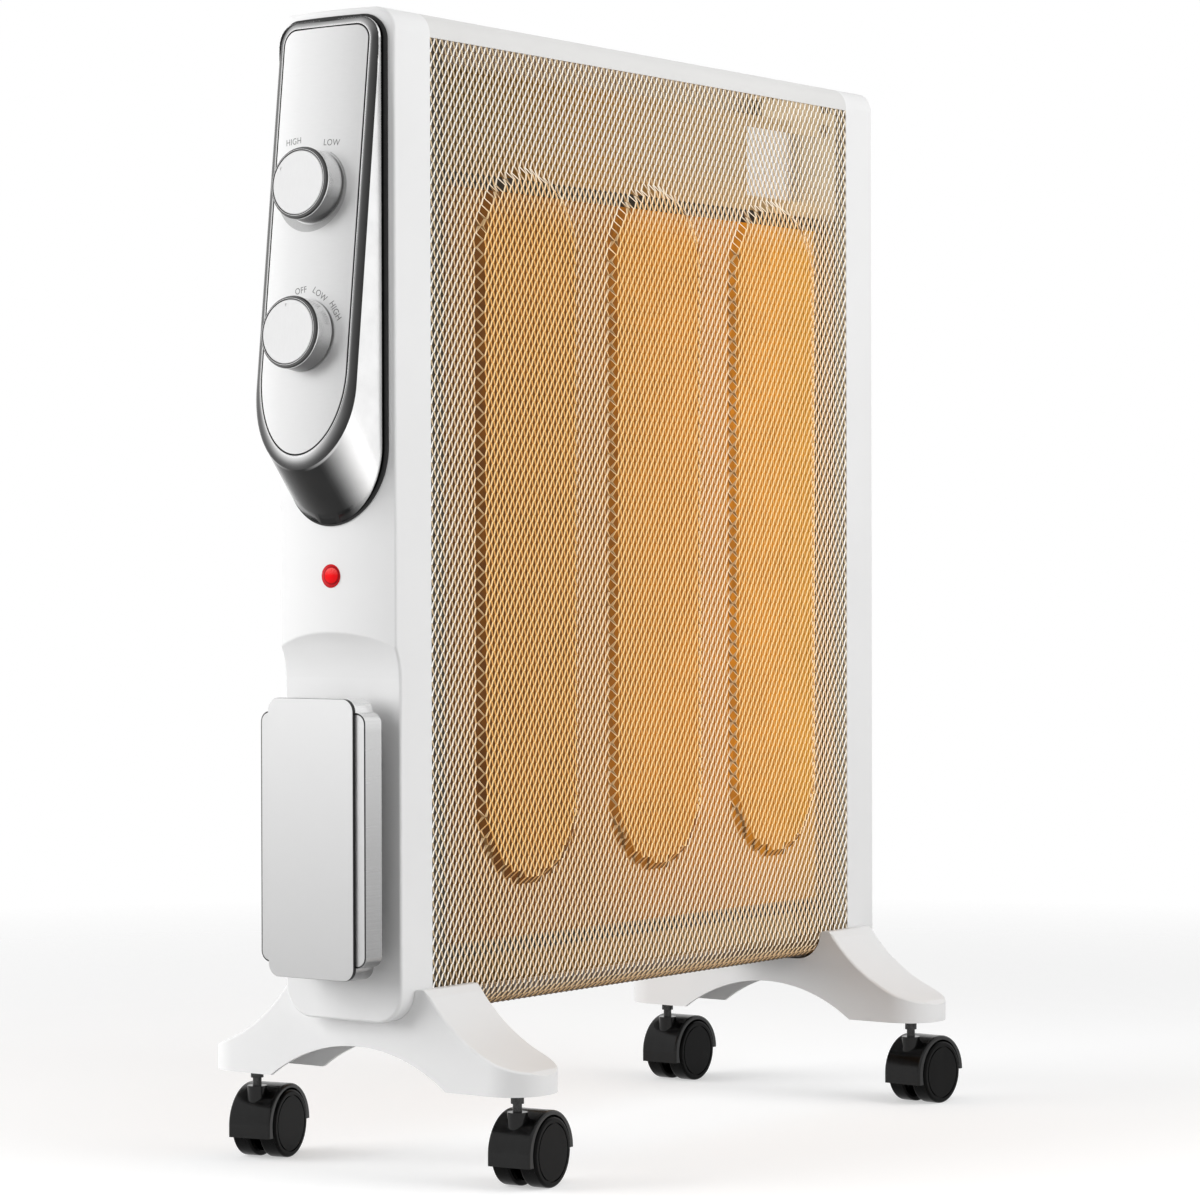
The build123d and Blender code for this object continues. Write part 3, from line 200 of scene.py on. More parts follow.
# Studio: strength of the world's light, and power, size and place of the lamps
world_light = 0.32
key_power = 36.0
key_size = 1.4
key_place = (-1.35, 1.25, 0.85)
fill_power = 14.5
fill_size = 1.2
fill_place = (0.1, -1.2, 0.9)
top_power = 4.0
top_size = 2.0
top_place = (0.0, 0.0, 2.6)
lamp_target = (0.0, 0.0, 0.3)
floor_colour = (0.60, 0.60, 0.60)
floor_lift = 0.46
floor_fade_start = 0.7
floor_fade_end = 1.6
floor_half_size = 2.0


def add_node(material, kind, **values):
    """A new node, with some of its inputs set."""
    node = material.node_tree.nodes.new(kind)
    for name, value in values.items():
        node.inputs[name].default_value = value
    return node


def join(material, source, target):
    """Links an output socket to an input socket."""
    material.node_tree.links.new(source, target)


def new_look(name, settings):
    """A material whose shader has the given constant values, and that shader."""
    material = bpy.data.materials.new(name)
    material.use_nodes = True
    shader = material.node_tree.nodes["Principled BSDF"]
    for socket, value in settings.items():
        shader.inputs[socket].default_value = value
    return material, shader


def place_of(material, stretch=(1, 1, 1)):
    """Places on the object, stretched along its axes."""
    coordinates = add_node(material, "ShaderNodeTexCoord")
    mapping = add_node(material, "ShaderNodeMapping", Scale=stretch)
    join(material, coordinates.outputs["Object"], mapping.inputs["Vector"])
    return mapping.outputs["Vector"]


def noise_of(material, scale, detail=3.0, stretch=(1, 1, 1)):
    """Soft noise over the object."""
    noise = add_node(material, "ShaderNodeTexNoise", Scale=scale, Detail=detail)
    join(material, place_of(material, stretch), noise.inputs["Vector"])
    return noise.outputs["Fac"]


def cells_of(material, scale, output="Color", stretch=(1, 1, 1)):
    """Grains with sharp borders over the object."""
    cells = add_node(material, "ShaderNodeTexVoronoi", Scale=scale)
    join(material, place_of(material, stretch), cells.inputs["Vector"])
    return cells.outputs[output]


def span_of(material, value, low, high, new_low, new_high):
    """A value moved from one range to another, and kept inside it."""
    node = material.node_tree.nodes.new("ShaderNodeMapRange")
    join(material, value, node.inputs["Value"])
    numbers = {"From Min": low, "From Max": high, "To Min": new_low, "To Max": new_high}
    for name, number in numbers.items():
        node.inputs[name].default_value = number
    return node.outputs["Result"]


def maths_of(material, operation, first, second):
    """The result of one operation on two sockets or numbers."""
    node = material.node_tree.nodes.new("ShaderNodeMath")
    node.operation = operation
    for socket, value in zip(node.inputs, (first, second)):
        if isinstance(value, (int, float)):
            socket.default_value = value
        else:
            join(material, value, socket)
    return node.outputs["Value"]


def ramp_of(material, factor, stops):
    """A colour that depends on a factor. Each stop is a place and a colour."""
    node = material.node_tree.nodes.new("ShaderNodeValToRGB")
    ramp = node.color_ramp
    while len(ramp.elements) < len(stops):
        ramp.elements.new(0.5)
    for element, (position, colour) in zip(ramp.elements, stops):
        element.position = position
        element.color = (*colour, 1)
    join(material, factor, node.inputs["Fac"])
    return node.outputs["Color"]


def part_of_vector(material, vector, axis):
    """One number of a vector."""
    node = material.node_tree.nodes.new("ShaderNodeSeparateXYZ")
    join(material, vector, node.inputs["Vector"])
    return node.outputs[axis]


def facing_of(material, axis):
    """How much a face looks along one of the object's own axes."""
    coordinates = add_node(material, "ShaderNodeTexCoord")
    return part_of_vector(material, coordinates.outputs["Normal"], axis)


def place_along(material, axis):
    """Place along one of the object's own axes."""
    return part_of_vector(material, place_of(material), axis)


def rise_in(material, node):
    """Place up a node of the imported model, from 0 at its foot to 1 at its top."""
    low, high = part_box(node)
    return span_of(material, place_along(material, "Z"), low.z, high.z, 0, 1)


def bump(material, shader, height, distance, strength=1.0):
    """Fine relief on the surface."""
    node = add_node(material, "ShaderNodeBump", Strength=strength, Distance=distance)
    join(material, height, node.inputs["Height"])
    join(material, node.outputs["Normal"], shader.inputs["Normal"])


def vary_colour(material, shader, factor, stops):
    """Base colour that follows a factor."""
    join(material, ramp_of(material, factor, stops), shader.inputs["Base Color"])


def vary_roughness(material, shader, factor, low, high):
    """Roughness that follows noise, most of which lies between 0.3 and 0.7."""
    join(material, span_of(material, factor, 0.3, 0.7, low, high), shader.inputs["Roughness"])


def grey(value):
    """A grey of the given brightness."""
    return (value, value, value)


def white_plastic_look():
    """Moulded white plastic of the end caps and feet: a fine satin grain."""
    material, shader = new_look("white_plastic_look", {"Specular IOR Level": 0.4})
    vary_colour(material, shader, noise_of(material, 14), [(0.35, grey(0.77)), (0.65, grey(0.79))])
    vary_roughness(material, shader, noise_of(material, 60), 0.34, 0.42)
    bump(material, shader, noise_of(material, 1600, 2), 0.00002, 0.5)
    return material


def white_paint_look():
    """Sprayed white paint of the top rail, with a slight orange peel."""
    material, shader = new_look("white_paint_look", {"Coat Weight": 0.2, "Coat Roughness": 0.15})
    stops = [(0.3, (0.66, 0.655, 0.645)), (0.7, (0.68, 0.675, 0.665))]
    vary_colour(material, shader, noise_of(material, 9), stops)
    vary_roughness(material, shader, noise_of(material, 40), 0.30, 0.38)
    bump(material, shader, noise_of(material, 420, 2), 0.00004, 0.4)
    return material


# Red of the lens from its middle to its edge, painted light and shade: a bright middle, a dark ring
# of shade and a lighter rim
painted_lens_rings = [
    (0.0, (0.85, 0.004, 0.008)),
    (0.62, (0.72, 0.003, 0.006)),
    (0.72, (0.20, 0.002, 0.004)),
    (0.82, (0.55, 0.012, 0.018)),
    (1.0, (0.42, 0.006, 0.010)),
]

# Shader values of satin silver plate
satin_silver = {"Metallic": 0.75, "Specular IOR Level": 0.5}

# Zinc-plated sheet behind the grilles, coloured nearly black as painted shade, over its spangle
shaded_stops = [(0.0, (0.030, 0.022, 0.014)), (1.0, (0.060, 0.045, 0.030))]

# Colours of the mesh away from the hot panel and before it, from downward to upward faces: painted
# shade on downward faces and painted light on upward ones, the second set warm as a painted
# reflection of the glowing panel
painted_silver_stops = [
    (0.0, (0.10, 0.07, 0.04)),
    (0.10, (0.44, 0.33, 0.20)),
    (0.22, (0.78, 0.62, 0.40)),
    (0.80, (1.00, 0.98, 0.94)),
]
painted_amber_stops = [
    (0.0, (0.14, 0.06, 0.01)),
    (0.10, (0.62, 0.30, 0.08)),
    (0.22, (0.97, 0.52, 0.15)),
    (0.80, (1.0, 0.72, 0.36)),
]

# Painted glow of the mica panels and painted reflected glow of the reflector, from the control side
# to the far side
painted_mica_glow = [
    (0.00, (0.008, 0.003, 0.001)),
    (0.08, (0.03, 0.010, 0.001)),
    (0.25, (0.12, 0.035, 0.002)),
    (0.42, (0.15, 0.048, 0.003)),
    (0.54, (0.36, 0.115, 0.005)),
    (0.72, (0.42, 0.135, 0.006)),
    (0.87, (0.55, 0.20, 0.009)),
    (1.00, (0.45, 0.22, 0.020)),
]
painted_reflector_glow = [
    (0.00, (0.01, 0.005, 0.001)),
    (0.20, (0.05, 0.024, 0.003)),
    (0.50, (0.24, 0.10, 0.007)),
    (0.80, (0.36, 0.22, 0.09)),
    (1.00, (0.40, 0.28, 0.14)),
]


def attribute_of(material, name):
    """A number that the mesh carries at its points."""
    node = material.node_tree.nodes.new("ShaderNodeAttribute")
    node.attribute_name = name
    return node.outputs["Fac"]


def mixed_of(material, factor, first, second):
    """A colour between two others."""
    node = material.node_tree.nodes.new("ShaderNodeMix")
    node.data_type = "RGBA"
    join(material, factor, node.inputs["Factor"])
    join(material, first, node.inputs["A"])
    join(material, second, node.inputs["B"])
    return node.outputs["Result"]


def grille_look():
    """Expanded metal with painted light and shade: upward faces painted bright cream, downward ones
    darker tan, steep inward walls dark brown as shade, and a painted warm reflection of the glowing
    panel, most on the ribs.
    """
    material, shader = new_look("grille_look", {"Metallic": 0.5, "Specular IOR Level": 0.3})
    upward = facing_of(material, "Z")
    along = facing_of(material, "X")
    grain = noise_of(material, 700, 2)
    tone = maths_of(material, "ADD", upward, maths_of(material, "MULTIPLY", grain, 0.12))
    factor = span_of(material, tone, -0.50, 0.60, 0, 1)
    cool = ramp_of(material, factor, painted_silver_stops)
    warm = ramp_of(material, factor, painted_amber_stops)
    # Painted warm reflection of the glowing panel, carried by the mesh.
    lit = mixed_of(material, attribute_of(material, "painted_glow_reflection"), cool, warm)
    brown = ramp_of(material, factor, [(0.0, (0.26, 0.14, 0.05)), (1.0, (0.80, 0.58, 0.32))])
    # Steep inward walls of the ribs are painted dark brown as shade.
    wall = span_of(material, along, -0.66, -0.80, 0, 1)
    join(material, mixed_of(material, wall, lit, brown), shader.inputs["Base Color"])
    vary_roughness(material, shader, noise_of(material, 260), 0.36, 0.50)
    bump(material, shader, grain, 0.00003, 0.4)
    return material


def galvanised_look():
    """Zinc-coated sheet with its spangle."""
    material, shader = new_look("galvanised_look", {"Metallic": 0.9})
    spangle = part_of_vector(material, cells_of(material, 110), "X")
    vary_colour(material, shader, spangle, [(0.0, (0.16, 0.15, 0.14)), (1.0, (0.26, 0.25, 0.24))])
    vary_roughness(material, shader, spangle, 0.32, 0.52)
    bump(material, shader, noise_of(material, 900, 2), 0.00002, 0.4)
    return material


def shaded_sheet_look():
    """Zinc-plated sheet behind the grilles, coloured nearly black as painted shade."""
    material, shader = new_look("shaded_sheet_look", {"Metallic": 0.8})
    spangle = cells_of(material, 110)
    vary_colour(material, shader, spangle, shaded_stops)
    vary_roughness(material, shader, noise_of(material, 40), 0.38, 0.55)
    return material


def far_wall_look():
    """The same sheet at the far end: painted shade below, and on its upper inward faces a lighter
    colour and a painted warm glow that stand for the light of the panels thrown back.
    """
    material, shader = new_look("far_wall_look", {"Metallic": 0.3, "Emission Strength": 1.0})
    # Upper faces that look inward are painted light; the rest is painted shade.
    high = span_of(material, place_along(material, "Z"), 0.545, 0.555, 0, 1)
    inward = span_of(material, facing_of(material, "X"), -0.4, -0.6, 0, 1)
    painted_light_mask = maths_of(material, "MULTIPLY", high, inward)
    spangle = cells_of(material, 110)
    shaded = ramp_of(material, spangle, shaded_stops)
    zinc = ramp_of(material, spangle, [(0.0, (0.62, 0.56, 0.46)), (1.0, (0.78, 0.72, 0.62))])
    join(material, mixed_of(material, painted_light_mask, shaded, zinc), shader.inputs["Base Color"])
    dark = ramp_of(material, spangle, [(0.0, (0.04, 0.022, 0.006)), (1.0, (0.05, 0.030, 0.008))])
    warm = ramp_of(material, spangle, [(0.0, (0.22, 0.17, 0.10)), (1.0, (0.34, 0.27, 0.17))])
    join(material, mixed_of(material, painted_light_mask, dark, warm), shader.inputs["Emission Color"])
    vary_roughness(material, shader, noise_of(material, 40), 0.38, 0.55)
    return material


def painted_glow_of(material, stops, mottle):
    """Painted warm light, given as emission, that grows towards the far end of the heater, and
    fades at its top and bottom.
    """
    spot = place_of(material)
    near = body_middle - grille_half_length
    far = body_middle + grille_half_length
    reach = span_of(material, part_of_vector(material, spot, "X"), near, far, 0, 1)
    rise = part_of_vector(material, spot, "Z")
    low = span_of(material, rise, 0.10, 0.20, 0.40, 1)
    high = span_of(material, rise, 0.56, 0.64, 1, 0.80)
    shade = span_of(material, mottle, 0.4, 0.9, 0.75, 1.15)
    strength = maths_of(material, "MULTIPLY", maths_of(material, "MULTIPLY", low, high), shade)
    scaled = material.node_tree.nodes.new("ShaderNodeVectorMath")
    scaled.operation = "SCALE"
    join(material, ramp_of(material, reach, stops), scaled.inputs[0])
    join(material, strength, scaled.inputs["Scale"])
    return scaled.outputs["Vector"]


def mica_look():
    """Pressed mica flakes with a painted warm glow, given as emission, that grows towards the far
    end.
    """
    material, shader = new_look("mica_look", {"Specular IOR Level": 0.12, "Emission Strength": 1.0})
    flakes = part_of_vector(material, cells_of(material, 260, "Color", (1, 1, 0.7)), "X")
    clouds = noise_of(material, 24, 4)
    mottle = maths_of(material, "ADD", maths_of(material, "MULTIPLY", flakes, 0.35), clouds)
    stops = [(0.35, (0.035, 0.014, 0.003)), (0.9, (0.09, 0.040, 0.010))]
    vary_colour(material, shader, mottle, stops)
    vary_roughness(material, shader, flakes, 0.38, 0.56)
    join(material, painted_glow_of(material, painted_mica_glow, mottle), shader.inputs["Emission Color"])
    bump(material, shader, flakes, 0.0001, 0.5)
    return material


def reflector_look():
    """Polished sheet coloured dark as shade, with a painted glow that stands for the warm light of
    the panels thrown back.
    """
    material, shader = new_look("reflector_look", {"Metallic": 1.0, "Emission Strength": 1.0})
    streaks = noise_of(material, 420, 3, (0.05, 1, 1))
    stops = [(0.3, (0.045, 0.026, 0.010)), (0.7, (0.08, 0.048, 0.020))]
    vary_colour(material, shader, streaks, stops)
    vary_roughness(material, shader, streaks, 0.30, 0.45)
    join(material, painted_glow_of(material, painted_reflector_glow, streaks), shader.inputs["Emission Color"])
    return material


def ribbon_look():
    """Dull heating ribbon with heat tint."""
    material, shader = new_look("ribbon_look", {"Metallic": 1.0})
    stops = [(0.3, (0.30, 0.24, 0.20)), (0.7, (0.45, 0.40, 0.38))]
    vary_colour(material, shader, noise_of(material, 60), stops)
    vary_roughness(material, shader, noise_of(material, 300, 2, (1, 1, 0.1)), 0.35, 0.5)
    return material


def ceramic_look():
    """Glazed steatite with fine specks."""
    material, shader = new_look("ceramic_look", {"Specular IOR Level": 0.5})
    specks = noise_of(material, 1200, 2)
    vary_colour(material, shader, specks, [(0.3, (0.62, 0.58, 0.50)), (0.42, (0.80, 0.77, 0.70))])
    vary_roughness(material, shader, noise_of(material, 90), 0.3, 0.45)
    bump(material, shader, specks, 0.00003, 0.4)
    return material


def bright_metal_look():
    """Bright rolled sheet with streaks along its length."""
    material, shader = new_look("bright_metal_look", {"Metallic": 1.0})
    streaks = noise_of(material, 420, 3, (0.05, 1, 1))
    vary_colour(material, shader, streaks, [(0.3, (0.74, 0.75, 0.76)), (0.7, (0.88, 0.88, 0.88))])
    vary_roughness(material, shader, streaks, 0.16, 0.30)
    bump(material, shader, streaks, 0.00002, 0.4)
    return material


def black_plastic_look():
    """Matt black plastic with an eroded grain."""
    material, shader = new_look("black_plastic_look", {"Specular IOR Level": 0.4})
    grain = noise_of(material, 1400, 2)
    vary_colour(material, shader, grain, [(0.3, grey(0.010)), (0.7, grey(0.020))])
    vary_roughness(material, shader, noise_of(material, 120), 0.42, 0.58)
    bump(material, shader, grain, 0.00004, 0.5)
    return material


def gloss_black_look(name, gloss):
    """Polished black nylon of the castors, with faint scuffs."""
    material, shader = new_look(name, {"Specular IOR Level": gloss})
    scuffs = noise_of(material, 240, 5, (1, 1, 0.3))
    vary_colour(material, shader, scuffs, [(0.35, grey(0.0015)), (0.75, grey(0.004))])
    vary_roughness(material, shader, scuffs, 0.16, 0.24)
    bump(material, shader, noise_of(material, 500, 2), 0.00002, 0.3)
    return material


def graphite_chrome_look():
    """Dark plating whose colour is the tone that the mesh carries: painted reflections in light and
    dark bands and painted highlight lines, with faint smudges.
    """
    material, shader = new_look("graphite_chrome_look", {"Metallic": 1.0})
    smudges = span_of(material, noise_of(material, 60, 4), 0.3, 0.7, 0.94, 1.04)
    tone = maths_of(material, "MULTIPLY", attribute_of(material, "tone"), smudges)
    vary_colour(material, shader, tone, [(0.0, grey(0.0)), (1.0, grey(1.0))])
    vary_roughness(material, shader, noise_of(material, 300), 0.16, 0.24)
    return material


def silver_plate_look():
    """Satin silver of the knob caps, very finely brushed."""
    material, shader = new_look("silver_plate_look", satin_silver)
    brushed = noise_of(material, 900, 3, (1, 1, 0.2))
    vary_colour(material, shader, brushed, [(0.3, grey(0.755)), (0.7, grey(0.775))])
    vary_roughness(material, shader, brushed, 0.32, 0.38)
    return material


def panel_look():
    """Satin silver of the control panel, with a painted sheen that falls off from its rear to its
    front edge.
    """
    material, shader = new_look("panel_look", satin_silver)
    brushed = noise_of(material, 900, 3, (1, 0.2, 1))
    right = place_along(material, "Y")
    across = span_of(material, right, panel_half_width, -panel_half_width, 0, 1)
    tone = maths_of(material, "ADD", across, maths_of(material, "MULTIPLY", brushed, 0.08))
    sheen = [(0.0, grey(0.90)), (0.30, grey(0.78)), (0.75, grey(0.68)), (1.0, grey(0.60))]
    vary_colour(material, shader, tone, sheen)
    vary_roughness(material, shader, brushed, 0.32, 0.38)
    return material


def winder_cover_look():
    """Satin silver plate with painted shade: sides nearly black, and the face a little darker
    towards its lower end.
    """
    material, shader = new_look("winder_cover_look", satin_silver)
    brushed = noise_of(material, 1500, 3, (1, 1, 0.03))
    share = rise_in(material, "winder_cover")
    tone = maths_of(material, "ADD", share, maths_of(material, "MULTIPLY", brushed, 0.05))
    face = ramp_of(material, tone, [(0.0, grey(0.52)), (1.0, grey(0.78))])
    dark = ramp_of(material, brushed, [(0.3, grey(0.015)), (0.7, grey(0.03))])
    # Sides painted nearly black as shade.
    side = span_of(material, facing_of(material, "X"), -0.75, -0.60, 0, 1)
    join(material, mixed_of(material, side, face, dark), shader.inputs["Base Color"])
    vary_roughness(material, shader, brushed, 0.30, 0.40)
    return material


def winder_frame_look():
    """Brushed chrome of the winder's frame, with a painted sheen brightest at its upper end."""
    material, shader = new_look("winder_frame_look", {"Metallic": 1.0})
    brushed = noise_of(material, 900, 3, (0.03, 1, 1))
    share = rise_in(material, "winder_frame")
    tone = maths_of(material, "ADD", share, maths_of(material, "MULTIPLY", brushed, 0.04))
    sheen = [(0.0, grey(0.30)), (0.5, grey(0.44)), (0.9, grey(0.60)), (1.0, grey(0.85))]
    vary_colour(material, shader, tone, sheen)
    vary_roughness(material, shader, brushed, 0.18, 0.28)
    return material


def chrome_look():
    """Bright plating with faint smudges."""
    material, shader = new_look("chrome_look", {"Metallic": 1.0})
    smudges = noise_of(material, 70, 4)
    vary_colour(material, shader, smudges, [(0.3, grey(0.56)), (0.7, grey(0.62))])
    vary_roughness(material, shader, smudges, 0.16, 0.24)
    return material


def red_lens_look():
    """Red lens, lit from behind, with fine prisms inside, painted light and shade in rings round
    its middle, and a painted highlight above it.
    """
    settings = {"Specular IOR Level": 0.10, "Emission Strength": 0.15}
    material, shader = new_look("red_lens_look", settings)
    prisms = cells_of(material, 1300, "Distance")
    low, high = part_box("indicator_lens")
    spot = place_of(material)
    across, up = (part_of_vector(material, spot, axis) for axis in "YZ")
    beside = maths_of(material, "SUBTRACT", across, (low.y + high.y) / 2 + lens_shift[0])
    above = maths_of(material, "SUBTRACT", up, (low.z + high.z) / 2 + lens_shift[1])
    squares = [maths_of(material, "MULTIPLY", value, value) for value in (beside, above)]
    radius = maths_of(material, "SQRT", maths_of(material, "ADD", *squares), 0.0)
    share = span_of(material, radius, 0, (high.z - low.z) / 2, 0, 1)
    ring = ramp_of(material, share, painted_lens_rings)
    # Painted highlight above the lens's middle, grained by the prisms.
    clear = ramp_of(material, prisms, [(0.0, (0.95, 0.30, 0.28)), (0.8, (0.75, 0.08, 0.08))])
    risen = span_of(material, above, 0.0, (high.z - low.z) * 0.30, 0, 0.55)
    upper = maths_of(material, "MULTIPLY", risen, span_of(material, share, 0.70, 0.60, 0, 1))
    colour = mixed_of(material, upper, ring, clear)
    join(material, colour, shader.inputs["Base Color"])
    join(material, colour, shader.inputs["Emission Color"])
    vary_roughness(material, shader, prisms, 0.08, 0.16)
    bump(material, shader, prisms, 0.00003, 0.4)
    return material


def dial_look():
    """Satin plating of the knobs' sides, painted light above and painted shade below, by where each
    face looks along the knob's own axes.
    """
    material, shader = new_look("dial_look", {"Metallic": 0.9})
    upward = span_of(material, facing_of(material, "Z"), -1, 1, 0, 1)
    brushed = noise_of(material, 80, 2)
    tone = maths_of(material, "ADD", upward, maths_of(material, "MULTIPLY", brushed, 0.01))
    sheen = [(0.05, grey(0.12)), (0.30, grey(0.32)), (0.48, grey(0.72)), (0.80, grey(0.84))]
    vary_colour(material, shader, tone, sheen)
    vary_roughness(material, shader, brushed, 0.22, 0.24)
    return material


def steel_look():
    """Zinc-plated steel of screws, stems and shafts."""
    material, shader = new_look("steel_look", {"Metallic": 1.0})
    worn = noise_of(material, 500, 3)
    vary_colour(material, shader, worn, [(0.3, grey(0.42)), (0.7, grey(0.60))])
    vary_roughness(material, shader, worn, 0.2, 0.36)
    return material


def stem_look():
    """Steel of the castors' stems, coloured near black."""
    material, shader = new_look("stem_look", {"Metallic": 1.0})
    worn = noise_of(material, 500, 3)
    vary_colour(material, shader, worn, [(0.3, grey(0.03)), (0.7, grey(0.06))])
    vary_roughness(material, shader, worn, 0.2, 0.36)
    return material


def lead_look():
    """Braided glass-fibre sleeve of the inner leads."""
    material, shader = new_look("lead_look", {"Specular IOR Level": 0.3})
    braid = cells_of(material, 1500, "Distance")
    vary_colour(material, shader, braid, [(0.0, (0.72, 0.70, 0.64)), (0.7, (0.45, 0.43, 0.38))])
    vary_roughness(material, shader, braid, 0.6, 0.8)
    bump(material, shader, braid, 0.0001, 0.6)
    return material


def ink_look(name, tone):
    """Grey print on the control panel, slightly uneven."""
    material, shader = new_look(name, {"Specular IOR Level": 0.3})
    coverage = noise_of(material, 2500, 2)
    vary_colour(material, shader, coverage, [(0.3, grey(tone * 0.9)), (0.7, grey(tone * 1.1))])
    vary_roughness(material, shader, coverage, 0.4, 0.55)
    return material


def dress_nodes():
    """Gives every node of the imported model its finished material."""
    looks = {
        "white_plastic": white_plastic_look(),
        "white_paint": white_paint_look(),
        "grille_metal": grille_look(),
        "galvanised_steel": galvanised_look(),
        "mica": mica_look(),
        "ribbon_metal": ribbon_look(),
        "ceramic": ceramic_look(),
        "bright_metal": bright_metal_look(),
        "black_plastic": black_plastic_look(),
        "gloss_black": gloss_black_look("gloss_black_look", 0.06),
        "graphite_chrome": graphite_chrome_look(),
        "silver_plate": silver_plate_look(),
        "chrome": chrome_look(),
        "red_lens": red_lens_look(),
        "dial_plastic": dial_look(),
        "steel": steel_look(),
        "lead_covering": lead_look(),
    }
    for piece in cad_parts.values():
        for slot in piece.material_slots:
            slot.material = looks[slot.material.name]
    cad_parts["reflector_plate"].material_slots[0].material = reflector_look()
    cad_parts["winder_cover"].material_slots[0].material = winder_cover_look()
    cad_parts["winder_frame"].material_slots[0].material = winder_frame_look()
    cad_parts["control_panel"].material_slots[0].material = panel_look()
    hood = gloss_black_look("hood_look", 0.30)
    for corner in ("front_near", "front_far", "back_near", "back_far"):
        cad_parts[corner + "_castor_hood"].material_slots[0].material = hood
    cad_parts["castor_stems"].material_slots[0].material = stem_look()
    # The channels and the control end wall take the sheet coloured nearly black as painted shade.
    shaded_sheet = shaded_sheet_look()
    for name in ("panel_channels", "control_end_wall"):
        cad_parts[name].material_slots[0].material = shaded_sheet
    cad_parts["far_end_wall"].material_slots[0].material = far_wall_look()
    return looks


def rib_rise(x, z):
    """How far the ribs raise the sheet at places along and up it."""
    straight_low = rib_low + rib_half_width
    straight_high = rib_high - rib_half_width
    up = z - np.clip(z, straight_low, straight_high)
    rise = np.zeros_like(x)
    for step in (-1, 0, 1):
        distance = np.hypot(x - step * rib_pitch, up)
        inside = np.clip((rib_half_width - distance) / rib_wall, 0, 1)
        rise += rib_height * inside * inside * (3 - 2 * inside)
    return rise


def sheet_place(x, run, out):
    """Places on the bent front sheet, by the run down it and the height over its middle."""
    lift = strand_width * tan(radians(strand_tilt)) + strand_thickness / 2
    depth = half_depth - lift
    flat = grille_top - grille_bottom - sheet_curl_radius
    radius = sheet_curl_radius - lift
    curl = radius * pi / 2
    centre_y = -half_depth + sheet_curl_radius
    centre_z = grille_bottom + sheet_curl_radius
    turn = np.clip((run - flat) / radius, 0, pi / 2)
    tail = np.maximum(run - flat - curl, 0)
    out = out + np.where(run < flat, rib_rise(x, grille_top - run), 0)
    y = np.where(run < flat, -depth - out, centre_y - (radius + out) * np.cos(turn) + tail)
    z = np.where(run < flat, grille_top - run, centre_z - (radius + out) * np.sin(turn))
    return np.stack([x, y, z], axis=-1)


def sheet_run():
    """Length of the sheet's path from its top edge to the end of its lower lip."""
    flat = grille_top - grille_bottom - sheet_curl_radius
    return flat + sheet_curl_radius * pi / 2 + sheet_lower_lip


def strand_corners(strip, row):
    """Places along the sheet, and heights over it, of a strand's four corners at a row of bonds."""
    half_cell = cell_length / 2
    left = (strip + row) % 2 == 0
    left_start = strip * half_cell - bond_overlap
    right_start = (strip + 1) * half_cell - strand_width + bond_overlap
    start = np.where(left, left_start, right_start)
    lean = tan(radians(strand_tilt))
    height = np.where(left, 0, -strand_width * lean)
    side = strand_thickness / 2 * sin(radians(strand_tilt))
    face = strand_thickness / 2 * cos(radians(strand_tilt))
    rise = strand_width * lean
    corners = [(0, 0, -1), (strand_width, rise, -1), (strand_width, rise, 1), (0, 0, 1)]
    x = np.stack([start + across + back * side for across, up, back in corners], axis=-1)
    out = np.stack([height + up - back * face for across, up, back in corners], axis=-1)
    return x, out


def carry(mesh, name, values):
    """Gives a mesh one number at each of its points."""
    attribute = mesh.attributes.new(name, "FLOAT", "POINT")
    attribute.data.foreach_set("value", np.asarray(values, np.float32))


def painted_glow_reflection_at(x, z):
    """How much painted warm reflection of the glowing panel the sheet carries at places along and
    up it: most on the ribs, least at its edges.
    """
    on_rib = rib_rise(x, z) / rib_height
    from_side = np.clip((grille_half_length - np.abs(x)) / 0.045, 0, 1)
    from_top = np.clip((0.57 - z) / 0.05, 0, 1)
    from_bottom = np.clip((z - grille_bottom) / 0.09, 0, 1)
    return (0.62 + 0.38 * on_rib) * from_side * (0.12 + 0.88 * from_top) * (0.5 + 0.5 * from_bottom)


def net_mesh(name):
    """The front sheet as one net of strands, joined at their bonds."""
    half_row = cell_height / 2
    row_count = int(sheet_run() / half_row) + 1
    half_strips = int(grille_half_length / (cell_length / 2)) + 1
    strip_numbers = np.arange(-half_strips, half_strips)
    strips, rows = np.meshgrid(strip_numbers, np.arange(row_count), indexing="ij")
    x, out = strand_corners(strips, rows)
    x = np.clip(x, -grille_half_length, grille_half_length)
    run = np.minimum(rows * half_row, sheet_run())[..., None] + np.zeros_like(x)
    points = sheet_place(x, run, out).reshape(-1, 3)
    strip_count = strips.shape[0]
    first = (np.arange(strip_count)[:, None] * row_count + np.arange(row_count - 1)[None, :]) * 4
    faces = []
    for corner in range(4):
        following = (corner + 1) % 4
        steps = (corner, following, 4 + following, 4 + corner)
        faces.append(np.stack([first + step for step in steps], -1))
    mesh = bpy.data.meshes.new(name)
    mesh.from_pydata(points.tolist(), [], np.concatenate(faces).reshape(-1, 4).tolist())
    mesh.update()
    carry(mesh, "painted_glow_reflection", painted_glow_reflection_at(points[:, 0], points[:, 2]))
    return mesh


def make_nets(looks):
    """Front and rear grilles of expanded metal. The rear one is the front one turned round."""
    mesh = net_mesh("expanded_metal")
    mesh.materials.append(looks["grille_metal"])
    for name, node, turn in (("front_net", "front_grille", 0), ("rear_net", "rear_grille", pi)):
        net = bpy.data.objects.new(name, mesh)
        bpy.context.scene.collection.objects.link(net)
        net.matrix_world = Matrix.Translation((body_middle, 0, 0)) @ Matrix.Rotation(turn, 4, "Z")
        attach(net, "heater_body")
        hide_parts(node)


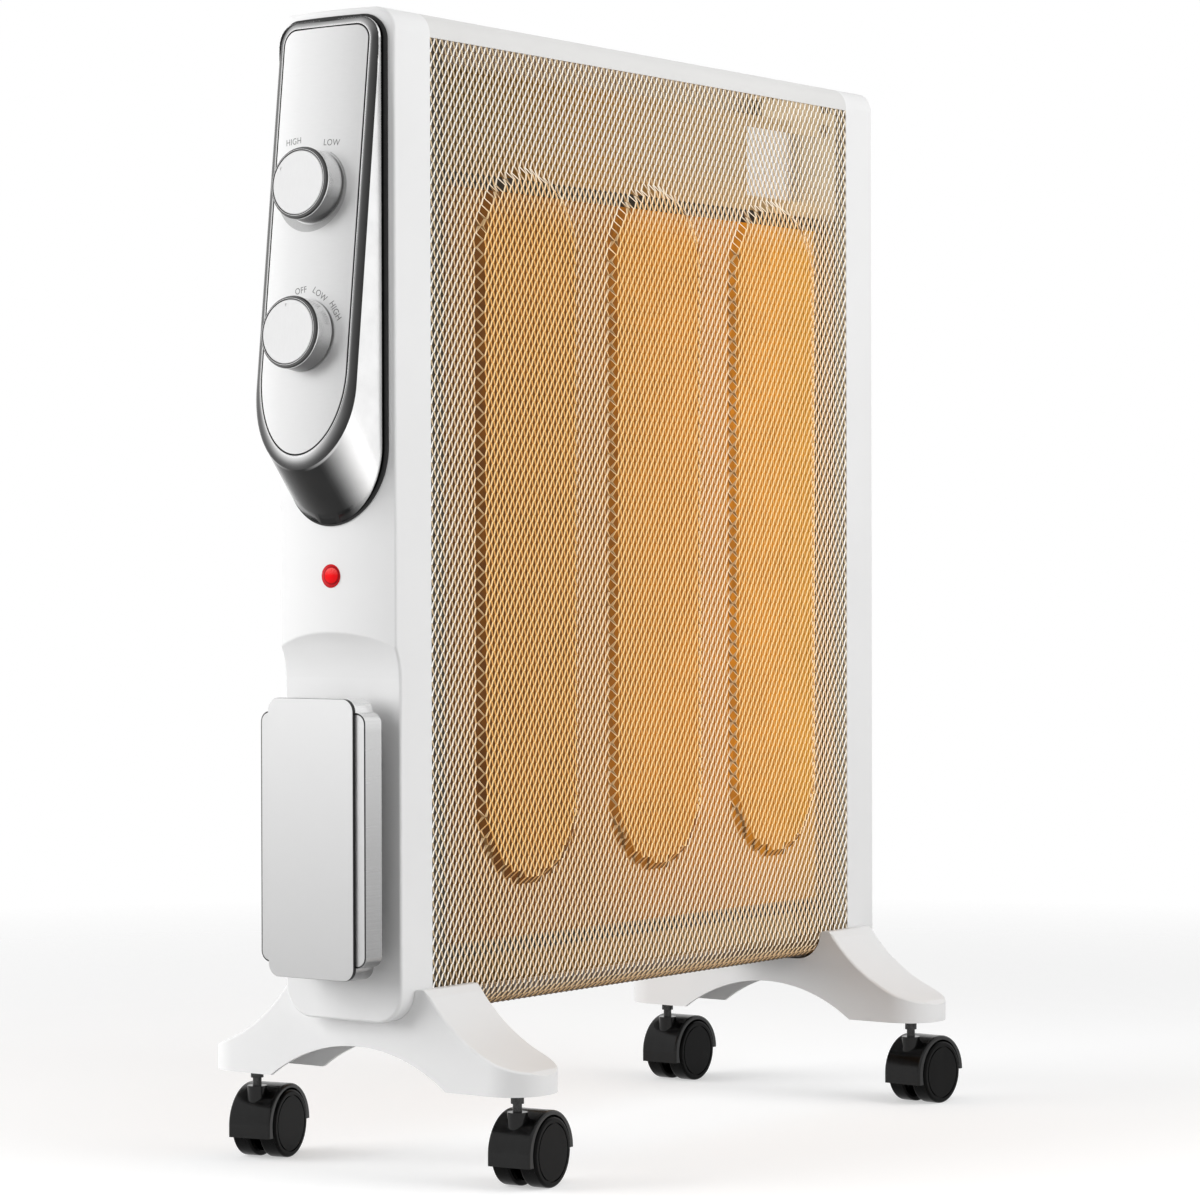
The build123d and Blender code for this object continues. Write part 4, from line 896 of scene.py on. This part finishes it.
def panel_swell(right):
    """How far the panel's curved face stands over its flat middle plane."""
    radius = (panel_half_width ** 2 + panel_bulge ** 2) / (2 * panel_bulge)
    return panel_bulge - radius + np.sqrt(radius ** 2 - right ** 2)


def panel_point(right, up, height):
    """A place over the control panel's curved face, in the row frame."""
    tilt = radians(panel_tilt)
    normal = Vector((-cos(tilt), 0, sin(tilt)))
    upward = Vector((sin(tilt), 0, cos(tilt)))
    across = Vector((0, -right, 0))
    return panel_origin + across + upward * up + normal * float(panel_swell(right) + height)


def print_piece(name, mesh, look):
    """Puts a flat print on the heater's body."""
    mesh.materials.append(look)
    piece = bpy.data.objects.new(name, mesh)
    bpy.context.scene.collection.objects.link(piece)
    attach(piece, "heater_body")
    return piece


def word_mesh(word, size, narrow):
    """A word as a flat mesh round its own middle."""
    curve = bpy.data.curves.new(word, "FONT")
    curve.body = word
    curve.size = size
    curve.space_character = 1.08
    curve.align_x = "CENTER"
    curve.align_y = "CENTER"
    carrier = bpy.data.objects.new(word, curve)
    bpy.context.scene.collection.objects.link(carrier)
    bpy.context.view_layer.update()
    shape = carrier.evaluated_get(bpy.context.evaluated_depsgraph_get())
    mesh = bpy.data.meshes.new_from_object(shape)
    bpy.data.objects.remove(carrier)
    for vertex in mesh.vertices:
        vertex.co.x *= narrow
    return mesh


def make_word(name, word, dial, right, up, turn, look):
    """One word beside a dial, turned clockwise by an angle, laid on the panel's curved face."""
    mesh = word_mesh(word, label_size, label_narrow)
    angle = radians(-turn)
    for vertex in mesh.vertices:
        x = vertex.co.x * cos(angle) - vertex.co.y * sin(angle)
        y = vertex.co.x * sin(angle) + vertex.co.y * cos(angle)
        vertex.co = panel_point(right + x, dial + up + y, print_height)
    return print_piece(name, mesh, look)


def make_sweep(look):
    """The grey band that widens round the thermostat dial, from LOW clockwise to its lower left."""
    mesh = bpy.data.meshes.new("dial_sweep")
    points = []
    for step in range(sweep_steps + 1):
        share = step / sweep_steps
        angle = radians(sweep_start - share * sweep_turn)
        width = sweep_width_start + (sweep_width_end - sweep_width_start) * share ** 1.5
        for radius in (sweep_inner, sweep_inner + width):
            right = radius * cos(angle)
            up = thermostat_dial + radius * sin(angle)
            points.append(panel_point(right, up, print_height))
    faces = [(2 * i, 2 * i + 1, 2 * i + 3, 2 * i + 2) for i in range(sweep_steps)]
    mesh.from_pydata(points, [], faces)
    return print_piece("dial_sweep", mesh, look)


def bullet_points(half_width, low, high, corner, ellipse):
    """Points round an outline with two round corners above and a half ellipse below."""
    waist = low + ellipse
    points = []
    for side, start in ((-1, 180), (1, 90)):
        for step in range(corner_steps + 1):
            angle = radians(start - 90 * step / corner_steps)
            centre = (side * (half_width - corner), high - corner)
            points.append((centre[0] + corner * cos(angle), centre[1] + corner * sin(angle)))
    for step in range(1, side_steps):
        points.append((half_width, high - corner + (waist - high + corner) * step / side_steps))
    for step in range(ellipse_steps + 1):
        angle = -pi * step / ellipse_steps
        points.append((half_width * cos(angle), waist + ellipse * sin(angle)))
    for step in range(1, side_steps):
        points.append((-half_width, waist + (high - corner - waist) * step / side_steps))
    return np.array(points)


def panel_axes():
    """The control panel's own directions: right, up and outward."""
    tilt = radians(panel_tilt)
    return np.array([(0, -1, 0), (sin(tilt), 0, cos(tilt)), (-cos(tilt), 0, sin(tilt))])


def panel_loop(grow, height):
    """Points round the panel's outline, grown, at a height over its curved face."""
    width = panel_half_width + grow
    low = -panel_half_height - grow
    flat = bullet_points(width, low, -low, panel_corner + grow, panel_ellipse + grow)
    local = np.column_stack([flat, panel_swell(flat[:, 0]) + height])
    return np.array(panel_origin) + local @ panel_axes()


def base_loops():
    """Points round the housing's foot: on its upright plane, and where it meets the end cap."""
    low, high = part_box("control_bezel")
    flat = bullet_points(base_half_width, low.z, high.z, base_corner, base_ellipse)
    end_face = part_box("control_end_cap")[0].x
    upright = np.column_stack([np.full(len(flat), end_face - base_step), -flat[:, 0], flat[:, 1]])
    on_cap = upright.copy()
    centre = end_face + end_radius
    on_cap[:, 0] = centre - np.sqrt((end_radius + rim_lift) ** 2 - on_cap[:, 1] ** 2)
    return upright, on_cap


def direction_shares():
    """How much each point of the outline faces up, right, down and left."""
    width = panel_half_width + bevel_width
    low = -panel_half_height - bevel_width
    flat = bullet_points(width, low, -low, panel_corner + bevel_width, panel_ellipse + bevel_width)
    along = np.roll(flat, -1, axis=0) - np.roll(flat, 1, axis=0)
    facing = np.column_stack([-along[:, 1], along[:, 0]])
    facing /= np.linalg.norm(facing, axis=1)[:, None]
    right, up = facing[:, 0], facing[:, 1]
    return [np.maximum(facing, 0) ** 2 for facing in (up, right, -up, -right)]


def toned_mesh(name, loops, tones):
    """A smooth skin through loops of points, each point with its tone."""
    count = len(loops[0])
    faces = []
    for row in range(0, (len(loops) - 1) * count, count):
        for point in range(count):
            following = (point + 1) % count
            corners = (point, following, count + following, count + point)
            faces.append([row + corner for corner in corners])
    mesh = bpy.data.meshes.new(name)
    mesh.from_pydata(np.concatenate(loops).tolist(), [], faces)
    carry(mesh, "tone", tones)
    mesh.shade_smooth()
    return mesh


def bezel_mesh():
    """Skin of the control housing: lip, rounded bevel and leaning walls, with tones that paint
    their reflections and highlight lines.
    """
    up, right, down, left = direction_shares()
    loops = []
    tones = []

    def add_loop(points, tone):
        loops.append(points)
        tones.append(np.zeros(len(points)) + tone)

    for grow, height, tone in lip_profile:
        add_loop(panel_loop(grow, height), tone)
    inner = panel_loop(lip_profile[-1][0], 0)
    front = panel_loop(bevel_width, 0)
    outward = panel_axes()[2]
    heights = (front - np.array(panel_origin)) @ outward
    front += (front_height - heights)[:, None] * outward
    upright, on_cap = base_loops()
    base_heights = (upright - np.array(panel_origin)) @ outward
    share = (front_height - heights + bevel_depth) / (front_height - base_heights)
    edge = front + (upright - front) * share[:, None]
    # Each loop of the bevel takes a painted reflection tone from where it faces.
    for step, (above, beside, below, away) in enumerate(painted_bevel_tones):
        part = step / (len(painted_bevel_tones) - 1)
        lift = bevel_roundness * 4 * part * (1 - part)
        tone = up * above + right * beside + down * below + left * away
        add_loop(inner + (edge - inner) * part + lift * outward, tone)
    # Walls: painted dark where they face down, painted bright where they face up or sideways, with
    # a painted highlight line at their top.
    sideways = np.clip((right + left - 0.25) / 0.6, 0, 1) ** 2
    wall = wall_dark + (wall_bright - wall_dark) * np.maximum(sideways, up)
    line = np.maximum(line_tone * (right + left), wall)
    add_loop(edge + (upright - edge) * smooth_edge, line)
    add_loop(edge + (upright - edge) * bright_line, line)
    for part, keep in wall_profile:
        add_loop(edge + (upright - edge) * part, wall * keep)
    add_loop(upright + (on_cap - upright) * rim_start, wall)
    add_loop(upright + (on_cap - upright) * (rim_start + rim_turn), rim_tone)
    add_loop(on_cap, rim_tone / 2)
    return toned_mesh("bezel_skin", loops, np.concatenate(tones))


def add_piece(name, mesh, look, body):
    """Puts a mesh in the scene as a piece that rides on a body."""
    mesh.materials.append(look)
    piece = bpy.data.objects.new(name, mesh)
    bpy.context.scene.collection.objects.link(piece)
    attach(piece, body)
    return piece


def make_bezel(looks):
    """The housing's plated skin in place of the plain solid."""
    slot = "graphite_chrome"
    skin = add_piece("bezel_skin", bezel_mesh(), looks[slot], "heater_body")
    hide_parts("control_bezel")


def knob_ring_mesh(name, dial):
    """Sloping ring round a knob's cap, with painted reflections: dark on its slope, and a bright
    highlight line at each edge.
    """
    right, up, outward = panel_axes()
    centre = np.array(panel_origin) + up * dial + outward * (knob_start + knob_height)
    angles = np.linspace(0, 2 * pi, ring_steps, endpoint=False)
    spokes = np.cos(angles)[:, None] * right + np.sin(angles)[:, None] * up
    points = [centre + spokes * radius + outward * height for radius, height, tone in ring_profile]
    tones = np.repeat([tone for radius, height, tone in ring_profile], ring_steps)
    return toned_mesh(name, points, tones)


def make_knob_rings(looks):
    """Plated rings of both knobs, in place of the plain ones."""
    for dial, place in (("thermostat", thermostat_dial), ("switch", switch_dial)):
        name = dial + "_ring_skin"
        mesh = knob_ring_mesh(name, place)
        piece = add_piece(name, mesh, looks["graphite_chrome"], dial + "_dial")
        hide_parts(dial + "_knob_ring")


def wing_outline(inset, side):
    """Points round a wing's face, drawn in from its outer edge and ends."""
    corner = wing_corner - inset
    half_height = wing_height / 2 - inset
    outer = wing_outer - inset
    points = [(wing_inner, -half_height)]
    for end, start in ((-1, -90), (1, 0)):
        for step in range(corner_steps + 1):
            angle = radians(start + 90 * step / corner_steps)
            centre = (outer - corner, end * (half_height - corner))
            points.append((centre[0] + corner * cos(angle), centre[1] + corner * sin(angle)))
    points.append((wing_inner, half_height))
    return [(side * y, z) for y, z in points]


def plate_mesh(name, outline, front, back, middle):
    """A thin upright plate with the given outline, between two places along the heater."""
    count = len(outline)
    points = [(x, y, middle + z) for x in (front, back) for y, z in outline]
    faces = [tuple(range(count)), tuple(reversed(range(count, 2 * count)))]
    faces += [(i, (i + 1) % count, count + (i + 1) % count, count + i) for i in range(count)]
    mesh = bpy.data.meshes.new(name)
    mesh.from_pydata(points, [], faces)
    mesh.validate()
    return mesh


def make_wing_inlays(looks):
    """Silver inlay on each wing of the winder's frame, with a dark line round it."""
    low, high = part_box("winder_frame")
    middle = (low.z + high.z) / 2
    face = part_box("winder_cover")[0].x + wing_setback
    # The inlays take the cover's look, with its painted shade.
    cover_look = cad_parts["winder_cover"].material_slots[0].material
    for name, side in (("front", -1), ("rear", 1)):
        outline = wing_outline(wing_rim, side)
        front = face - groove_thickness
        groove = plate_mesh(name + "_wing_groove", outline, front, face, middle)
        add_piece(groove.name, groove, looks["black_plastic"], "heater_body")
        outline = wing_outline(wing_rim + wing_groove, side)
        front = face - inlay_thickness
        inlay = plate_mesh(name + "_wing_inlay", outline, front, face, middle)
        add_piece(inlay.name, inlay, cover_look, "heater_body")


def make_prints():
    """Words and marks beside the dials."""
    ink = ink_look("label_ink", 0.15)
    band = ink_look("sweep_ink", 0.45)
    make_word("thermostat_high", "HIGH", thermostat_dial, -0.0170, 0.0255, -4, ink)
    make_word("thermostat_low", "LOW", thermostat_dial, 0.0100, 0.0233, 4, ink)
    make_word("switch_off", "OFF", switch_dial, -0.0042, 0.0241, -8, ink)
    make_word("switch_low", "LOW", switch_dial, 0.0090, 0.0216, 33, ink)
    make_word("switch_high", "HIGH", switch_dial, 0.0199, 0.0125, 58, ink)
    make_sweep(band)


def make_camera():
    """The camera, placed and turned as the photograph's was."""
    azimuth = radians(camera_azimuth)
    pitch = radians(camera_pitch)
    roll = radians(camera_roll)
    ahead = Vector((-sin(azimuth) * cos(pitch), cos(azimuth) * cos(pitch), -sin(pitch)))
    level = ahead.cross(Vector((0, 0, 1))).normalized()
    upright = level.cross(ahead)
    right = level * cos(roll) + upright * sin(roll)
    up = upright * cos(roll) - level * sin(roll)
    data = bpy.data.cameras.new("camera")
    data.sensor_width = camera_sensor * 1000
    data.lens = camera_focal_share * data.sensor_width
    data.clip_start = 0.05
    data.clip_end = 50.0
    camera = bpy.data.objects.new("camera", data)
    bpy.context.scene.collection.objects.link(camera)
    turn = Matrix((right, up, -ahead)).transposed().to_4x4()
    camera.matrix_world = Matrix.Translation(camera_place) @ turn
    bpy.context.scene.camera = camera


def make_lamp(name, power, size, place):
    """A square softbox that faces the heater."""
    data = bpy.data.lights.new(name, "AREA")
    data.energy = power
    data.size = size
    lamp = bpy.data.objects.new(name, data)
    lamp.visible_camera = False
    lamp.visible_glossy = False
    bpy.context.scene.collection.objects.link(lamp)
    aim = Vector(lamp_target) - Vector(place)
    turn = aim.to_track_quat("-Z", "Y").to_matrix().to_4x4()
    lamp.matrix_world = Matrix.Translation(place) @ turn


def seen_ray(tree):
    """One where a ray comes from the camera, a reflection or glass, else zero."""
    path = tree.nodes.new("ShaderNodeLightPath")
    total = path.outputs["Is Camera Ray"]
    for name in ("Is Glossy Ray", "Is Transmission Ray"):
        add = tree.nodes.new("ShaderNodeMath")
        add.operation = "MAXIMUM"
        tree.links.new(total, add.inputs[0])
        tree.links.new(path.outputs[name], add.inputs[1])
        total = add.outputs["Value"]
    return total


def make_world():
    """Soft light from all round, in front of a background that looks white."""
    world = bpy.data.worlds.new("studio")
    bpy.context.scene.world = world
    world.use_nodes = True
    tree = world.node_tree
    tree.nodes.clear()
    light = tree.nodes.new("ShaderNodeBackground")
    light.inputs["Strength"].default_value = world_light
    shown = tree.nodes.new("ShaderNodeBackground")
    shown.inputs["Color"].default_value = (1, 1, 1, 1)
    light.inputs["Color"].default_value = (1, 1, 1, 1)
    mix = tree.nodes.new("ShaderNodeMixShader")
    out = tree.nodes.new("ShaderNodeOutputWorld")
    tree.links.new(seen_ray(tree), mix.inputs["Fac"])
    tree.links.new(light.outputs[0], mix.inputs[1])
    tree.links.new(shown.outputs[0], mix.inputs[2])
    tree.links.new(mix.outputs[0], out.inputs["Surface"])


def floor_look():
    """Pale floor that fades into the background far from the heater."""
    material = bpy.data.materials.new("floor_look")
    material.use_nodes = True
    tree = material.node_tree
    tree.nodes.clear()
    diffuse = tree.nodes.new("ShaderNodeBsdfDiffuse")
    diffuse.inputs["Color"].default_value = (*floor_colour, 1)
    clear = tree.nodes.new("ShaderNodeBsdfTransparent")
    length = tree.nodes.new("ShaderNodeVectorMath")
    length.operation = "LENGTH"
    join(material, place_of(material), length.inputs[0])
    fade = span_of(material, length.outputs["Value"], floor_fade_start, floor_fade_end, 0, 1)
    lift = tree.nodes.new("ShaderNodeEmission")
    glow = maths_of(material, "MULTIPLY", seen_ray(tree), floor_lift)
    join(material, glow, lift.inputs["Strength"])
    lifted = tree.nodes.new("ShaderNodeAddShader")
    join(material, diffuse.outputs[0], lifted.inputs[0])
    join(material, lift.outputs[0], lifted.inputs[1])
    mix = tree.nodes.new("ShaderNodeMixShader")
    out = tree.nodes.new("ShaderNodeOutputMaterial")
    join(material, fade, mix.inputs["Fac"])
    join(material, lifted.outputs[0], mix.inputs[1])
    join(material, clear.outputs[0], mix.inputs[2])
    join(material, mix.outputs[0], out.inputs["Surface"])
    return material


def make_floor():
    """The floor under the castors."""
    mesh = bpy.data.meshes.new("floor")
    size = floor_half_size
    corners = [(-size, -size, 0), (size, -size, 0), (size, size, 0), (-size, size, 0)]
    mesh.from_pydata(corners, [], [(0, 1, 2, 3)])
    mesh.materials.append(floor_look())
    floor = bpy.data.objects.new("floor", mesh)
    bpy.context.scene.collection.objects.link(floor)


def make_studio():
    """Floor, background and lamps."""
    make_world()
    make_floor()
    make_lamp("key_lamp", key_power, key_size, key_place)
    make_lamp("fill_lamp", fill_power, fill_size, fill_place)
    make_lamp("top_lamp", top_power, top_size, top_place)
    bpy.context.scene.view_settings.view_transform = "Standard"


looks = dress_nodes()
make_nets(looks)
make_bezel(looks)
make_knob_rings(looks)
make_wing_inlays(looks)
make_prints()
make_camera()
make_studio()
